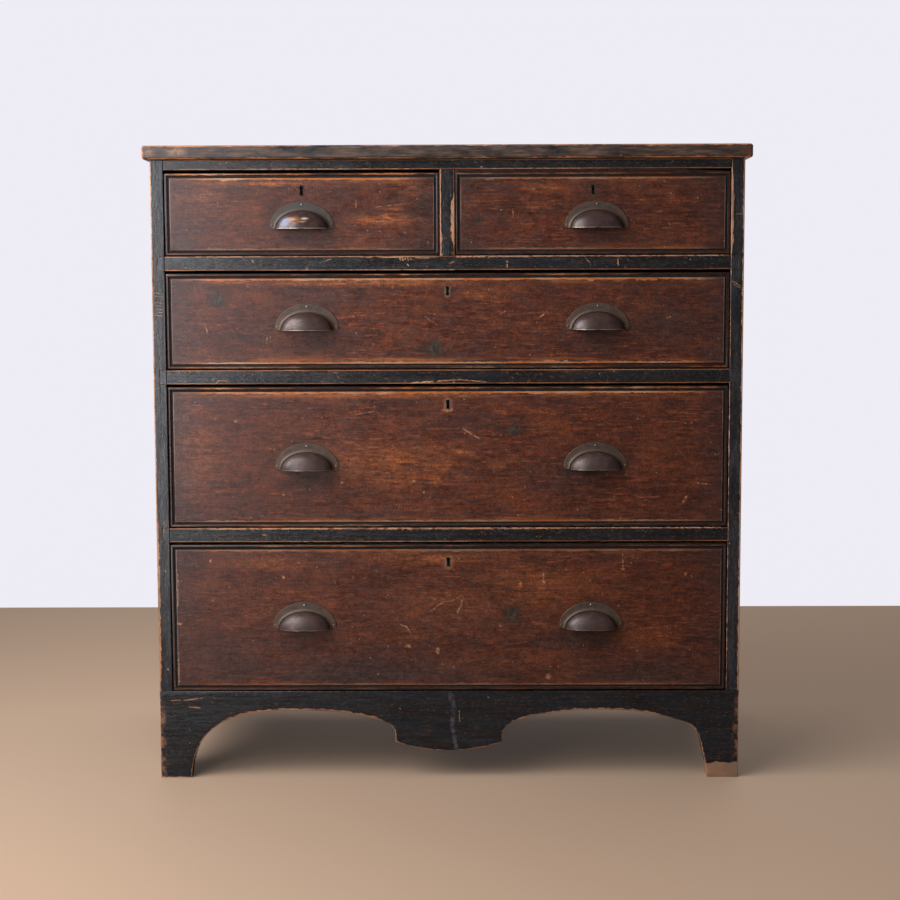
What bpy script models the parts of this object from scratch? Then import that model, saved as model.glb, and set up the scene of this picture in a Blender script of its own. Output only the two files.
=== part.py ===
"""A chest of drawers in painted pine: two small drawers over three long ones, on a shaped apron.

Every board, drawer piece, cup pull, lock case and lock bolt is its own object. X runs to the right, the
front faces -Y and Z is up. The origin is on the floor, at the middle of the object's whole width and depth,
pulls included. Each drawer's pieces hang on an empty, at the middle of its opening's lower edge, in the plane
of the case's front.
"""

import math

import bmesh
import bpy

# Fits
GAP = 0.0003  # between pieces that touch or sit in each other
OVERCUT = 0.002  # how far a cutter runs past a face that it opens

# Case, outside
CASE_WIDTH = 0.894
CASE_DEPTH = 0.445  # from the front edge of the side boards to the back of the back planks
SIDE_THICK = 0.020
TOP_THICK = 0.021
TOP_SIDE_OVERHANG = 0.010
TOP_FRONT_OVERHANG = 0.012
TOP_ROUND = 0.004
TOP_ROUND_STEPS = 2

# Heights, from the floor up
APRON_HEIGHT = 0.136
LOWER_OPENING = 0.2325
MIDDLE_OPENING = 0.2205
UPPER_OPENING = 0.150
SMALL_OPENING = 0.129
RAIL_HEIGHT = 0.0215
TOP_RAIL_HEIGHT = 0.015

# Case, inside
RAIL_DEPTH = 0.060
DIVIDER_WIDTH = 0.022
SHELF_THICK = 0.012  # the dust boards and the bottom board
BACK_THICK = 0.010
BACK_PLANKS = 3
GUIDE_HEIGHT = 0.025

# Joints of the case
TENON_LENGTH = 0.008
TENON_SHOULDER = 0.004
TENON_INSET = 0.010  # from the front of the rail to its tenon
LAP = 0.010  # a shelf's front edge on the rail or apron that carries it
HOUSING_DEPTH = 0.006  # a shelf's ends in the side boards
TONGUE_HEIGHT = 0.006
TONGUE_THICK = 0.010
TONGUE_INSET = 0.025  # from the front of the side board to its tongue
BACK_LAP = 0.010  # a back plank's edge in the side board

# Apron and feet
APRON_THICK = 0.020
FOOT_WIDTH = 0.0475
ARCH_HEIGHT = 0.106
DROP_HALF_WIDTH = 0.083
DROP_BOTTOM = 0.042
NOTCH_BOTTOM = 0.056
NOTCH_TOP = 0.070
SIDE_FOOT_WIDTH = 0.065
SIDE_ARCH_HEIGHT = 0.095
CURVE_STEPS = 16

# Shape of an arch's curve from its crest to its foot, in shares of its run and rise
ARCH_FULLNESS = 0.79
ARCH_LEAN = 0.033
ARCH_STEEPNESS = 0.61
NOTCH_SIDE_FULLNESS = 0.57

# Drawers
FRONT_SETBACK = 0.001
FRONT_THICK = 0.020
FRONT_GAP_ABOVE = 0.0045
FRONT_GAP_BELOW = 0.0015
FRONT_GAP_SIDE = 0.0012
BEAD_WIDTH = 0.0045
QUIRK_WIDTH = 0.003
QUIRK_DEPTH = 0.002
BOX_SIDE_THICK = 0.011
BOX_BACK_THICK = 0.011
BOX_FLOOR_THICK = 0.007
SIDE_DROP = 0.003  # from the top of the front to the top of the sides
BACK_DROP = 0.008  # from the top of the sides to the top of the back
GROOVE_RISE = 0.010
GROOVE_DEPTH = 0.005
REAR_GAP = 0.001  # the closed drawer stops against the back planks
FRONT_LAP = 0.006  # wood left in front of the dovetails
TAIL_PITCH = 0.050
TAIL_SHARE = 0.66
TAIL_SLOPE = 1 / 7

# Locks
KEY_DROP = 0.0265  # from the top of the front to the middle of the keyhole
KEYHOLE_HEIGHT = 0.0155
KEYHOLE_RADIUS = 0.0038
KEYHOLE_SLOT = 0.0056
KEYHOLE_STEPS = 16
LOCK_WIDTH = 0.064
LOCK_HEIGHT = 0.044
LOCK_BOX_WIDTH = 0.046
LOCK_BOX_HEIGHT = 0.038
LOCK_PLATE = 0.0016
SELVEDGE_DEPTH = 0.013
BOLT_BODY_WIDTH = 0.030
BOLT_BODY_HEIGHT = 0.010
BOLT_HEAD_WIDTH = 0.020
BOLT_THICK = 0.005
BOLT_HEAD_THIN = 0.0005  # how much thinner the head is than the body, on each face
BOLT_THROW = 0.011
BOLT_CLEAR = 0.001  # round the thrown bolt in its mortise

# Cup pulls
PULL_WIDTH = 0.098
PULL_HEIGHT = 0.040
PULL_PLATE = 0.0016
CUP_WIDTH = 0.077
CUP_HEIGHT = 0.028
CUP_REACH = 0.023
CUP_WALL = 0.0016
CUP_STEPS = 32
RIDGE_WIDTH = 0.004  # of the raised edge round the cup
RIDGE_RISE = 0.0048
LONG_PULL_SPACING = 0.440
SMALL_PULL_RISE = 0.040  # from the bottom of the front to the bottom of the pull
UPPER_PULL_RISE = 0.059
MIDDLE_PULL_RISE = 0.089
LOWER_PULL_RISE = 0.0975
SMALL_RIGHT_PULL_SHIFT = 0.006  # to the right: the maker set the pulls out by eye, a little off the middle
UPPER_PULL_SHIFT = 0.007
MIDDLE_PULL_SHIFT = 0.0045
LOWER_PULL_SHIFT = -0.0015

# Places that follow from the sizes above
INNER_WIDTH = CASE_WIDTH - 2 * SIDE_THICK
REACH = max(CUP_REACH - FRONT_SETBACK + GAP, TOP_FRONT_OVERHANG)
FRONT_Y = (REACH - CASE_DEPTH) / 2
REAR_Y = FRONT_Y + CASE_DEPTH
BACK_FACE_Y = REAR_Y - BACK_THICK
LOWER_Z = APRON_HEIGHT
LOWER_RAIL_Z = LOWER_Z + LOWER_OPENING
MIDDLE_Z = LOWER_RAIL_Z + RAIL_HEIGHT
MIDDLE_RAIL_Z = MIDDLE_Z + MIDDLE_OPENING
UPPER_Z = MIDDLE_RAIL_Z + RAIL_HEIGHT
UPPER_RAIL_Z = UPPER_Z + UPPER_OPENING
SMALL_Z = UPPER_RAIL_Z + RAIL_HEIGHT
TOP_RAIL_Z = SMALL_Z + SMALL_OPENING
CASE_TOP_Z = TOP_RAIL_Z + TOP_RAIL_HEIGHT
SMALL_WIDTH = (INNER_WIDTH - DIVIDER_WIDTH) / 2
SMALL_X = (DIVIDER_WIDTH + SMALL_WIDTH) / 2
LOCK_BOX_DEPTH = 2 * LOCK_PLATE + BOLT_THICK + 2 * GAP

# Each rail's lower edge and height
RAILS = {
    "lower_rail": (LOWER_RAIL_Z, RAIL_HEIGHT),
    "middle_rail": (MIDDLE_RAIL_Z, RAIL_HEIGHT),
    "upper_rail": (UPPER_RAIL_Z, RAIL_HEIGHT),
    "top_rail": (TOP_RAIL_Z, TOP_RAIL_HEIGHT),
}

# Each shelf's top and front edge
SHELVES = {
    "bottom_board": (LOWER_Z, FRONT_Y + APRON_THICK - LAP + GAP),
    "lower_dust_board": (MIDDLE_Z, FRONT_Y + RAIL_DEPTH - LAP + GAP),
    "middle_dust_board": (UPPER_Z, FRONT_Y + RAIL_DEPTH - LAP + GAP),
    "upper_dust_board": (SMALL_Z, FRONT_Y + RAIL_DEPTH - LAP + GAP),
}

# Base colour, roughness and metallic value of each material
MATERIALS = {
    "black_paint": ((0.035, 0.037, 0.042, 1), 0.5, 0),
    "stained_pine": ((0.115, 0.038, 0.018, 1), 0.4, 0),
    "bare_pine": ((0.42, 0.27, 0.14, 1), 0.75, 0),
    "bronze": ((0.16, 0.12, 0.09, 1), 0.45, 1),
    "lock_brass": ((0.45, 0.32, 0.13, 1), 0.45, 1),
    "lock_steel": ((0.22, 0.21, 0.20, 1), 0.5, 1),
}


# Building blocks


def clear_scene():
    for obj in list(bpy.data.objects):
        bpy.data.objects.remove(obj, do_unlink=True)


def new_collection(name):
    collection = bpy.data.collections.new(name)
    bpy.context.scene.collection.children.link(collection)
    return collection


def new_material(name):
    colour, roughness, metallic = MATERIALS[name]
    material = bpy.data.materials.new(name)
    material.use_nodes = True
    surface = material.node_tree.nodes["Principled BSDF"]
    surface.inputs["Base Color"].default_value = colour
    surface.inputs["Roughness"].default_value = roughness
    surface.inputs["Metallic"].default_value = metallic
    return material


def add_object(name, mesh, home, place=(0, 0, 0)):
    """A new object in the cutters' collection, which finish() moves to the parts."""
    obj = bpy.data.objects.new(name, mesh)
    obj.location = place
    obj.parent = home
    obj.hide_render = True
    obj.display_type = "WIRE"
    bpy.data.collections["cutters"].objects.link(obj)
    return obj


def finish(obj, material):
    """Makes an object one of the parts."""
    obj.data.materials.append(bpy.data.materials[material])
    obj.hide_render = False
    obj.display_type = "TEXTURED"
    bpy.data.collections["cutters"].objects.unlink(obj)
    bpy.data.collections["chest_of_drawers"].objects.link(obj)
    return obj


def box(name, x, y, z, home=None):
    """A box between two places on each axis, with its origin at its middle."""
    middle = [(a + b) / 2 for a, b in (x, y, z)]
    size = [abs(b - a) for a, b in (x, y, z)]
    mesh = bpy.data.meshes.new(name)
    work = bmesh.new()
    bmesh.ops.create_cube(work, size=1)
    bmesh.ops.scale(work, vec=size, verts=work.verts)
    work.to_mesh(mesh)
    work.free()
    return add_object(name, mesh, home, middle)


def round_bar(name, x, y, z, radius, steps, home=None):
    """A cylinder along Y."""
    mesh = bpy.data.meshes.new(name)
    work = bmesh.new()
    length = abs(y[1] - y[0])
    bmesh.ops.create_cone(work, cap_ends=True, segments=steps, radius1=radius, radius2=radius, depth=length)
    work.to_mesh(mesh)
    work.free()
    bar = add_object(name, mesh, home, (x, (y[0] + y[1]) / 2, z))
    bar.rotation_euler = (math.pi / 2, 0, 0)
    return bar


def combine(target, tool, operation):
    modifier = target.modifiers.new(operation.lower(), "BOOLEAN")
    modifier.operation = operation
    modifier.solver = "EXACT"
    modifier.object = tool


def notch(target, x, y, z):
    """Cuts a box out of a piece."""
    combine(target, box(target.name + "_notch", x, y, z, target.parent), "DIFFERENCE")


def extend(target, x, y, z):
    """Adds a box to a piece, such as a tenon. The box starts inside the piece."""
    combine(target, box(target.name + "_tenon", x, y, z, target.parent), "UNION")


def outline(name, knots, thick, place, turn):
    """A board cut to an outline. Each knot is (point, handle before, handle after), None where straight."""
    curve = bpy.data.curves.new(name, "CURVE")
    curve.dimensions = "2D"
    curve.fill_mode = "BOTH"
    curve.extrude = thick / 2
    curve.resolution_u = CURVE_STEPS
    spline = curve.splines.new("BEZIER")
    spline.bezier_points.add(len(knots) - 1)
    spline.use_cyclic_u = True
    for knot, (point, before, after) in zip(spline.bezier_points, knots):
        knot.co = (*point, 0)
        knot.handle_left_type = "FREE" if before else "VECTOR"
        knot.handle_right_type = "FREE" if after else "VECTOR"
        knot.handle_left = (*(before or point), 0)
        knot.handle_right = (*(after or point), 0)
    drawn = bpy.data.objects.new(name + "_drawn", curve)
    drawn.location = place
    drawn.rotation_euler = turn
    bpy.data.collections["cutters"].objects.link(drawn)
    shapes = bpy.context.evaluated_depsgraph_get()
    mesh = bpy.data.meshes.new_from_object(drawn.evaluated_get(shapes))
    work = bmesh.new()
    work.from_mesh(mesh)
    weld_distance = GAP / 30
    bmesh.ops.remove_doubles(work, verts=work.verts, dist=weld_distance)
    work.to_mesh(mesh)
    work.free()
    board = add_object(name, mesh, None)
    board.matrix_world = drawn.matrix_world
    bpy.data.objects.remove(drawn)
    mesh.name = name
    return board


def quarter_arch(crest, foot, fullness=ARCH_FULLNESS, lean=ARCH_LEAN):
    """Handles of the curve that falls from an arch's crest to its foot."""
    run = foot[0] - crest[0]
    rise = crest[1] - foot[1]
    after_crest = (crest[0] + fullness * run, crest[1])
    before_foot = (foot[0] - lean * run, foot[1] + ARCH_STEEPNESS * rise)
    return after_crest, before_foot


# The case


def make_top_board():
    half = CASE_WIDTH / 2 + TOP_SIDE_OVERHANG
    top_z = CASE_TOP_Z + TOP_THICK
    board = box("top_board", (-half, half), (FRONT_Y - TOP_FRONT_OVERHANG, REAR_Y), (CASE_TOP_Z, top_z))
    edge = board.modifiers.new("rounded edges", "BEVEL")
    edge.width = TOP_ROUND
    edge.segments = TOP_ROUND_STEPS
    for side in (-1, 1):
        middle = side * (CASE_WIDTH - SIDE_THICK) / 2
        x = (middle - TONGUE_THICK / 2 - GAP, middle + TONGUE_THICK / 2 + GAP)
        y = (FRONT_Y + TONGUE_INSET - GAP, REAR_Y + OVERCUT)
        notch(board, x, y, (CASE_TOP_Z - OVERCUT, CASE_TOP_Z + TONGUE_HEIGHT))
    finish(board, "black_paint")


def make_side_board(name, side):
    inner = side * INNER_WIDTH / 2
    outer = side * CASE_WIDTH / 2
    past_inner = inner - side * OVERCUT
    past_outer = outer + side * OVERCUT
    past_front = FRONT_Y - OVERCUT
    past_rear = REAR_Y + OVERCUT
    board = box(name, (inner, outer), (FRONT_Y, REAR_Y), (0, CASE_TOP_Z + TONGUE_HEIGHT - GAP))

    # Tongue in the top board
    cheek = (SIDE_THICK - TONGUE_THICK) / 2
    above = (CASE_TOP_Z - GAP, CASE_TOP_Z + TONGUE_HEIGHT + OVERCUT)
    notch(board, (past_inner, inner + side * cheek), (past_front, past_rear), above)
    notch(board, (outer - side * cheek, past_outer), (past_front, past_rear), above)
    notch(board, (past_inner, past_outer), (past_front, FRONT_Y + TONGUE_INSET), above)

    # Room for the apron in front of the foot, and the arch between the feet
    apron_y = (past_front, FRONT_Y + APRON_THICK + GAP)
    notch(board, (past_inner, past_outer), apron_y, (-OVERCUT, APRON_HEIGHT + GAP))
    front_foot = (FRONT_Y + SIDE_FOOT_WIDTH, 0)
    rear_foot = (REAR_Y - SIDE_FOOT_WIDTH, 0)
    crest = ((front_foot[0] + rear_foot[0]) / 2, SIDE_ARCH_HEIGHT)
    to_front = quarter_arch(crest, front_foot)
    to_rear = quarter_arch(crest, rear_foot)
    knots = [
        (front_foot, None, to_front[1]),
        (crest, to_front[0], to_rear[0]),
        (rear_foot, to_rear[1], None),
        ((rear_foot[0], -OVERCUT), None, None),
        ((front_foot[0], -OVERCUT), None, None),
    ]
    place = ((inner + outer) / 2, 0, 0)
    arch = outline(name + "_arch", knots, SIDE_THICK + 2 * OVERCUT, place, (math.pi / 2, 0, math.pi / 2))
    combine(board, arch, "DIFFERENCE")

    # Mortises for the rails
    for z, height in RAILS.values():
        z_range = (z + TENON_SHOULDER - GAP, z + height - TENON_SHOULDER + GAP)
        y_range = (FRONT_Y + TENON_INSET - GAP, FRONT_Y + RAIL_DEPTH - LAP - TENON_INSET + GAP)
        notch(board, (past_inner, inner + side * (TENON_LENGTH + GAP)), y_range, z_range)

    # Housings for the shelves, open to the back
    housing_x = (past_inner, inner + side * HOUSING_DEPTH)
    for top, front in SHELVES.values():
        notch(board, housing_x, (front - GAP, past_rear), (top - SHELF_THICK - GAP, top + GAP))

    # Rebate for the back planks
    rebate_z = (APRON_HEIGHT - SHELF_THICK - GAP, CASE_TOP_Z + TONGUE_HEIGHT + OVERCUT)
    notch(board, (past_inner, inner + side * BACK_LAP), (BACK_FACE_Y - GAP, past_rear), rebate_z)
    finish(board, "black_paint")


def make_rail(name, z, height):
    """A rail with a stub tenon at each end. It is not yet finished, because others are let into it."""
    half = INNER_WIDTH / 2 - GAP
    rail = box(name, (-half, half), (FRONT_Y, FRONT_Y + RAIL_DEPTH), (z, z + height))
    tenon_y = (FRONT_Y + TENON_INSET, FRONT_Y + RAIL_DEPTH - LAP - TENON_INSET)
    tenon_z = (z + TENON_SHOULDER, z + height - TENON_SHOULDER)
    for side in (-1, 1):
        extend(rail, (side * (half - OVERCUT), side * (INNER_WIDTH / 2 + TENON_LENGTH)), tenon_y, tenon_z)
    return rail


def bolt_mortise(rail, x, z):
    """The hole in a rail's underside that the bolt of the lock below it rises into."""
    half = BOLT_HEAD_WIDTH / 2 + BOLT_CLEAR
    middle = FRONT_Y + FRONT_SETBACK + FRONT_THICK - LOCK_PLATE - GAP - BOLT_THICK / 2
    half_depth = BOLT_THICK / 2 - BOLT_HEAD_THIN + BOLT_CLEAR
    top = z + BOLT_THROW - FRONT_GAP_ABOVE + BOLT_CLEAR
    notch(rail, (x - half, x + half), (middle - half_depth, middle + half_depth), (z - OVERCUT, top))


def shelf_rebate(carrier, rear, top):
    """The step at a rail's or apron's upper rear edge that a shelf lies on."""
    half = INNER_WIDTH / 2 + HOUSING_DEPTH
    z = (top - SHELF_THICK - GAP, top + OVERCUT)
    notch(carrier, (-half, half), (rear - LAP, rear + OVERCUT), z)


def make_rails():
    lower, middle, upper, top = (make_rail(name, z, height) for name, (z, height) in RAILS.items())
    for rail, z in ((lower, MIDDLE_Z), (middle, UPPER_Z), (upper, SMALL_Z)):
        shelf_rebate(rail, FRONT_Y + RAIL_DEPTH, z)
        bolt_mortise(rail, 0, z - RAIL_HEIGHT)
    for x in (-SMALL_X, SMALL_X):
        bolt_mortise(top, x, TOP_RAIL_Z)

    # Mortises for the divider's tenons
    x = (TENON_SHOULDER - DIVIDER_WIDTH / 2 - GAP, DIVIDER_WIDTH / 2 - TENON_SHOULDER + GAP)
    y = (FRONT_Y + TENON_INSET - GAP, FRONT_Y + RAIL_DEPTH - LAP - TENON_INSET + GAP)
    notch(upper, x, y, (SMALL_Z - TENON_LENGTH - GAP, SMALL_Z + OVERCUT))
    notch(top, x, y, (TOP_RAIL_Z - OVERCUT, TOP_RAIL_Z + TENON_LENGTH + GAP))
    for rail in (lower, middle, upper, top):
        finish(rail, "black_paint")


def make_divider():
    half = DIVIDER_WIDTH / 2
    y = (FRONT_Y, FRONT_Y + RAIL_DEPTH - LAP)
    post = box("divider", (-half, half), y, (SMALL_Z + GAP, TOP_RAIL_Z - GAP))
    tenon_x = (TENON_SHOULDER - half, half - TENON_SHOULDER)
    tenon_y = (FRONT_Y + TENON_INSET, FRONT_Y + RAIL_DEPTH - LAP - TENON_INSET)
    extend(post, tenon_x, tenon_y, (SMALL_Z - TENON_LENGTH, SMALL_Z + OVERCUT))
    extend(post, tenon_x, tenon_y, (TOP_RAIL_Z - OVERCUT, TOP_RAIL_Z + TENON_LENGTH))
    finish(post, "black_paint")

    guide_y = (FRONT_Y + RAIL_DEPTH - LAP + GAP, BACK_FACE_Y - GAP)
    guide = box("centre_guide", (-half, half), guide_y, (SMALL_Z + GAP, SMALL_Z + GUIDE_HEIGHT))
    finish(guide, "bare_pine")


def make_shelves():
    half = INNER_WIDTH / 2 + HOUSING_DEPTH - GAP
    for name, (top, front) in SHELVES.items():
        board = box(name, (-half, half), (front, BACK_FACE_Y - GAP), (top - SHELF_THICK, top))
        finish(board, "bare_pine")


def make_back():
    edge = INNER_WIDTH / 2 + BACK_LAP - GAP
    width = (2 * edge + GAP) / BACK_PLANKS
    for number in range(BACK_PLANKS):
        left = number * width - edge
        z = (APRON_HEIGHT - SHELF_THICK, CASE_TOP_Z - GAP)
        plank = box(f"back_plank_{number + 1}", (left, left + width - GAP), (BACK_FACE_Y, REAR_Y), z)
        finish(plank, "bare_pine")


def make_apron():
    outer = CASE_WIDTH / 2
    foot = (outer - FOOT_WIDTH, 0)
    notch_low = (DROP_HALF_WIDTH, NOTCH_BOTTOM)
    notch_high = (DROP_HALF_WIDTH, NOTCH_TOP)
    crest = ((DROP_HALF_WIDTH + foot[0]) / 2, ARCH_HEIGHT)
    to_foot = quarter_arch(crest, foot)
    to_notch = quarter_arch(crest, notch_high, fullness=NOTCH_SIDE_FULLNESS, lean=0)

    # The drop's lower edge is a parabola, whose handles lie a third of the way along
    drop_handle = (DROP_HALF_WIDTH / 3, DROP_BOTTOM)
    notch_handle = (DROP_HALF_WIDTH * 2 / 3, DROP_BOTTOM + (NOTCH_BOTTOM - DROP_BOTTOM) / 3)
    right = [
        (notch_low, notch_handle, None),
        (notch_high, None, to_notch[1]),
        (crest, to_notch[0], to_foot[0]),
        (foot, to_foot[1], None),
        ((outer, 0), None, None),
        ((outer, APRON_HEIGHT), None, None),
    ]

    def mirror(point):
        return point and (-point[0], point[1])

    left = [(mirror(point), mirror(after), mirror(before)) for point, before, after in reversed(right)]
    bottom = ((0, DROP_BOTTOM), mirror(drop_handle), drop_handle)
    place = (0, FRONT_Y + APRON_THICK / 2, 0)
    board = outline("apron", [bottom, *right, *left], APRON_THICK, place, (math.pi / 2, 0, 0))
    shelf_rebate(board, FRONT_Y + APRON_THICK, APRON_HEIGHT)
    finish(board, "black_paint")


# The cup pulls


def ellipsoid(name, size):
    """An ellipsoid of the given half sizes."""
    mesh = bpy.data.meshes.new(name)
    work = bmesh.new()
    bmesh.ops.create_uvsphere(work, u_segments=CUP_STEPS, v_segments=CUP_STEPS // 2, radius=1)
    bmesh.ops.scale(work, vec=size, verts=work.verts)
    work.to_mesh(mesh)
    work.free()
    return add_object(name, mesh, None)


def make_pull_mesh():
    """A domed cup with a raised edge on a half-round plate. Its origin is midway along the lower edge."""
    cup = ellipsoid("pull_cup", (CUP_WIDTH / 2, CUP_REACH, CUP_HEIGHT))
    ridge = ellipsoid("pull_ridge", (CUP_WIDTH / 2 + RIDGE_WIDTH, RIDGE_RISE, CUP_HEIGHT + RIDGE_WIDTH))
    plate = ellipsoid("pull_plate", (PULL_WIDTH / 2, CUP_REACH, PULL_HEIGHT))
    far = PULL_WIDTH + PULL_HEIGHT + CUP_REACH
    flat = box("pull_plate_face", (-far, far), (-PULL_PLATE, PULL_PLATE), (-far, far))
    inside = (CUP_WIDTH / 2 - CUP_WALL, CUP_REACH - CUP_WALL, CUP_HEIGHT - CUP_WALL)
    hollow = ellipsoid("pull_hollow", inside)
    room = box("pull_room", (-far, far), (-far, 0), (0, far))
    combine(plate, flat, "INTERSECT")
    combine(cup, ridge, "UNION")
    combine(cup, plate, "UNION")
    combine(cup, room, "INTERSECT")
    combine(cup, hollow, "DIFFERENCE")
    shapes = bpy.context.evaluated_depsgraph_get()
    mesh = bpy.data.meshes.new_from_object(cup.evaluated_get(shapes))
    mesh.name = "cup_pull"
    mesh.shade_smooth()
    sharp_angle = math.radians(35)
    mesh.set_sharp_from_angle(angle=sharp_angle)
    mesh.materials.append(bpy.data.materials["bronze"])
    for tool in (cup, ridge, plate, flat, hollow, room):
        bpy.data.objects.remove(tool)
    return mesh


def make_pull(name, mesh, x, z, home):
    pull = bpy.data.objects.new(name, mesh)
    pull.location = (x, FRONT_SETBACK - GAP, z)
    pull.parent = home
    bpy.data.collections["chest_of_drawers"].objects.link(pull)


# The drawers


def wedge(target, x, near, far):
    """Cuts a box whose height changes along Y: near and far are each (y, lowest z, highest z)."""
    name = target.name + "_wedge"
    tool = box(name, x, (near[0], far[0]), (0, 1), target.parent)
    for corner in tool.data.vertices:
        y = corner.co.y + tool.location.y
        low, high = (near if abs(y - near[0]) < abs(y - far[0]) else far)[1:]
        corner.co.z = (high if corner.co.z > 0 else low) - tool.location.z
    combine(target, tool, "DIFFERENCE")


def dovetail(side_board, end_board, x, shoulder, tip, z, blind):
    """Joins a drawer's side to its front or back with tails from the shoulder plane to the tip plane."""
    bottom, top = z
    way = 1 if tip > shoulder else -1
    count = max(2, round((top - bottom) / TAIL_PITCH))
    pitch = (top - bottom) / count
    tip_half = pitch * TAIL_SHARE / 2

    def half(y):
        return tip_half - way * (tip - y) * TAIL_SLOPE

    # Sockets in the front or back
    start = shoulder - way * OVERCUT
    end = tip + way * (GAP if blind else OVERCUT)
    inner, outer = x
    outward = 1 if outer > inner else -1
    socket_x = (inner - outward * GAP, outer + outward * OVERCUT)
    for number in range(count):
        middle = bottom + (number + 0.5) * pitch
        near = (start, middle - half(start) - GAP, middle + half(start) + GAP)
        far = (end, middle - half(end) - GAP, middle + half(end) + GAP)
        wedge(end_board, socket_x, near, far)

    # Waste between the tails of the side
    waste_x = (inner - outward * OVERCUT, outer + outward * OVERCUT)
    start = shoulder - way * GAP
    end = tip + way * OVERCUT
    margin = OVERCUT if blind else GAP
    for number in range(count + 1):
        middle = bottom + number * pitch
        low = [middle - (pitch / 2 - half(y)) if number > 0 else bottom - margin for y in (start, end)]
        high = [middle + (pitch / 2 - half(y)) if number < count else top + margin for y in (start, end)]
        wedge(side_board, waste_x, (start, low[0], high[0]), (end, low[1], high[1]))


def make_drawer_front(name, half, z, home):
    """The front board, with a bead and a quirk scratched round its face."""
    board = box(name, (-half, half), (FRONT_SETBACK, FRONT_SETBACK + FRONT_THICK), z, home)
    work = bmesh.new()
    work.from_mesh(board.data)
    face = min(work.faces, key=lambda side: side.normal.y)
    bmesh.ops.inset_region(work, faces=[face], thickness=BEAD_WIDTH, use_even_offset=True)
    ring = bmesh.ops.inset_region(work, faces=[face], thickness=QUIRK_WIDTH, use_even_offset=True)["faces"]
    sunk = bmesh.ops.extrude_face_region(work, geom=ring)["geom"]
    corners = [part for part in sunk if isinstance(part, bmesh.types.BMVert)]
    bmesh.ops.translate(work, verts=corners, vec=(0, QUIRK_DEPTH, 0))
    bmesh.ops.delete(work, geom=ring, context="FACES")
    work.to_mesh(board.data)
    work.free()
    return board


def keyhole(target, y, key_z):
    """Cuts a keyhole: round at the top, with a straight slot below."""
    round_z = key_z + KEYHOLE_HEIGHT / 2 - KEYHOLE_RADIUS
    bore = round_bar(target.name + "_keyhole", 0, y, round_z, KEYHOLE_RADIUS, KEYHOLE_STEPS, target.parent)
    combine(target, bore, "DIFFERENCE")
    notch(target, (-KEYHOLE_SLOT / 2, KEYHOLE_SLOT / 2), y, (key_z - KEYHOLE_HEIGHT / 2, round_z))


def make_lock(drawer, front, top, home):
    """The lock case, let into the back of the drawer front, and the bolt that slides up out of it."""
    rear = FRONT_SETBACK + FRONT_THICK
    box_front = rear - LOCK_BOX_DEPTH
    key_z = top - KEY_DROP
    half = LOCK_WIDTH / 2
    box_half = LOCK_BOX_WIDTH / 2

    # Recesses in the front for the box, the back plate and the selvedge on the top edge
    for reach, depth, height in (
        (box_half, LOCK_BOX_DEPTH, LOCK_BOX_HEIGHT),
        (half, LOCK_PLATE, LOCK_HEIGHT),
        (half, SELVEDGE_DEPTH, LOCK_PLATE),
    ):
        y = (rear - depth - GAP, rear + OVERCUT)
        notch(front, (-reach - GAP, reach + GAP), y, (top - height - GAP, top + OVERCUT))
    keyhole(front, (-OVERCUT, box_front + OVERCUT), key_z)

    # Back plate and selvedge, with the box in their corner
    corner_y = (rear - SELVEDGE_DEPTH, rear)
    case = box(drawer + "_lock_case", (-half, half), corner_y, (top - LOCK_HEIGHT, top), home)
    below_y = (rear - SELVEDGE_DEPTH - OVERCUT, rear - LOCK_PLATE)
    notch(case, (-half - OVERCUT, half + OVERCUT), below_y, (top - LOCK_HEIGHT - OVERCUT, top - LOCK_PLATE))
    inside_plate = LOCK_PLATE / 2
    box_z = (top - LOCK_BOX_HEIGHT, top - inside_plate)
    extend(case, (-box_half, box_half), (box_front, rear - inside_plate), box_z)
    room = box_half - LOCK_PLATE
    room_y = (box_front + LOCK_PLATE, rear - LOCK_PLATE)
    notch(case, (-room, room), room_y, (box_z[0] + LOCK_PLATE, top - LOCK_PLATE))

    # The bolt, drawn in: its head is level with the selvedge
    middle = rear - LOCK_PLATE - GAP - BOLT_THICK / 2
    body_top = top - LOCK_PLATE - GAP - BOLT_THROW
    body_half = BOLT_BODY_WIDTH / 2
    body_y = (middle - BOLT_THICK / 2, middle + BOLT_THICK / 2)
    body_z = (body_top - BOLT_BODY_HEIGHT, body_top)
    bolt = box(drawer + "_lock_bolt", (-body_half, body_half), body_y, body_z, home)
    head_half = BOLT_HEAD_WIDTH / 2
    head_thick = BOLT_THICK / 2 - BOLT_HEAD_THIN
    head_y = (middle - head_thick, middle + head_thick)
    extend(bolt, (-head_half, head_half), head_y, (body_top - OVERCUT, top - GAP))
    slot_y = (head_y[0] - GAP, head_y[1] + GAP)
    notch(case, (-head_half - GAP, head_half + GAP), slot_y, (top - LOCK_PLATE - OVERCUT, top + OVERCUT))
    keyhole(case, (box_front - OVERCUT, box_front + LOCK_PLATE + OVERCUT), key_z)
    finish(case, "lock_brass")
    finish(bolt, "lock_steel")


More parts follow.
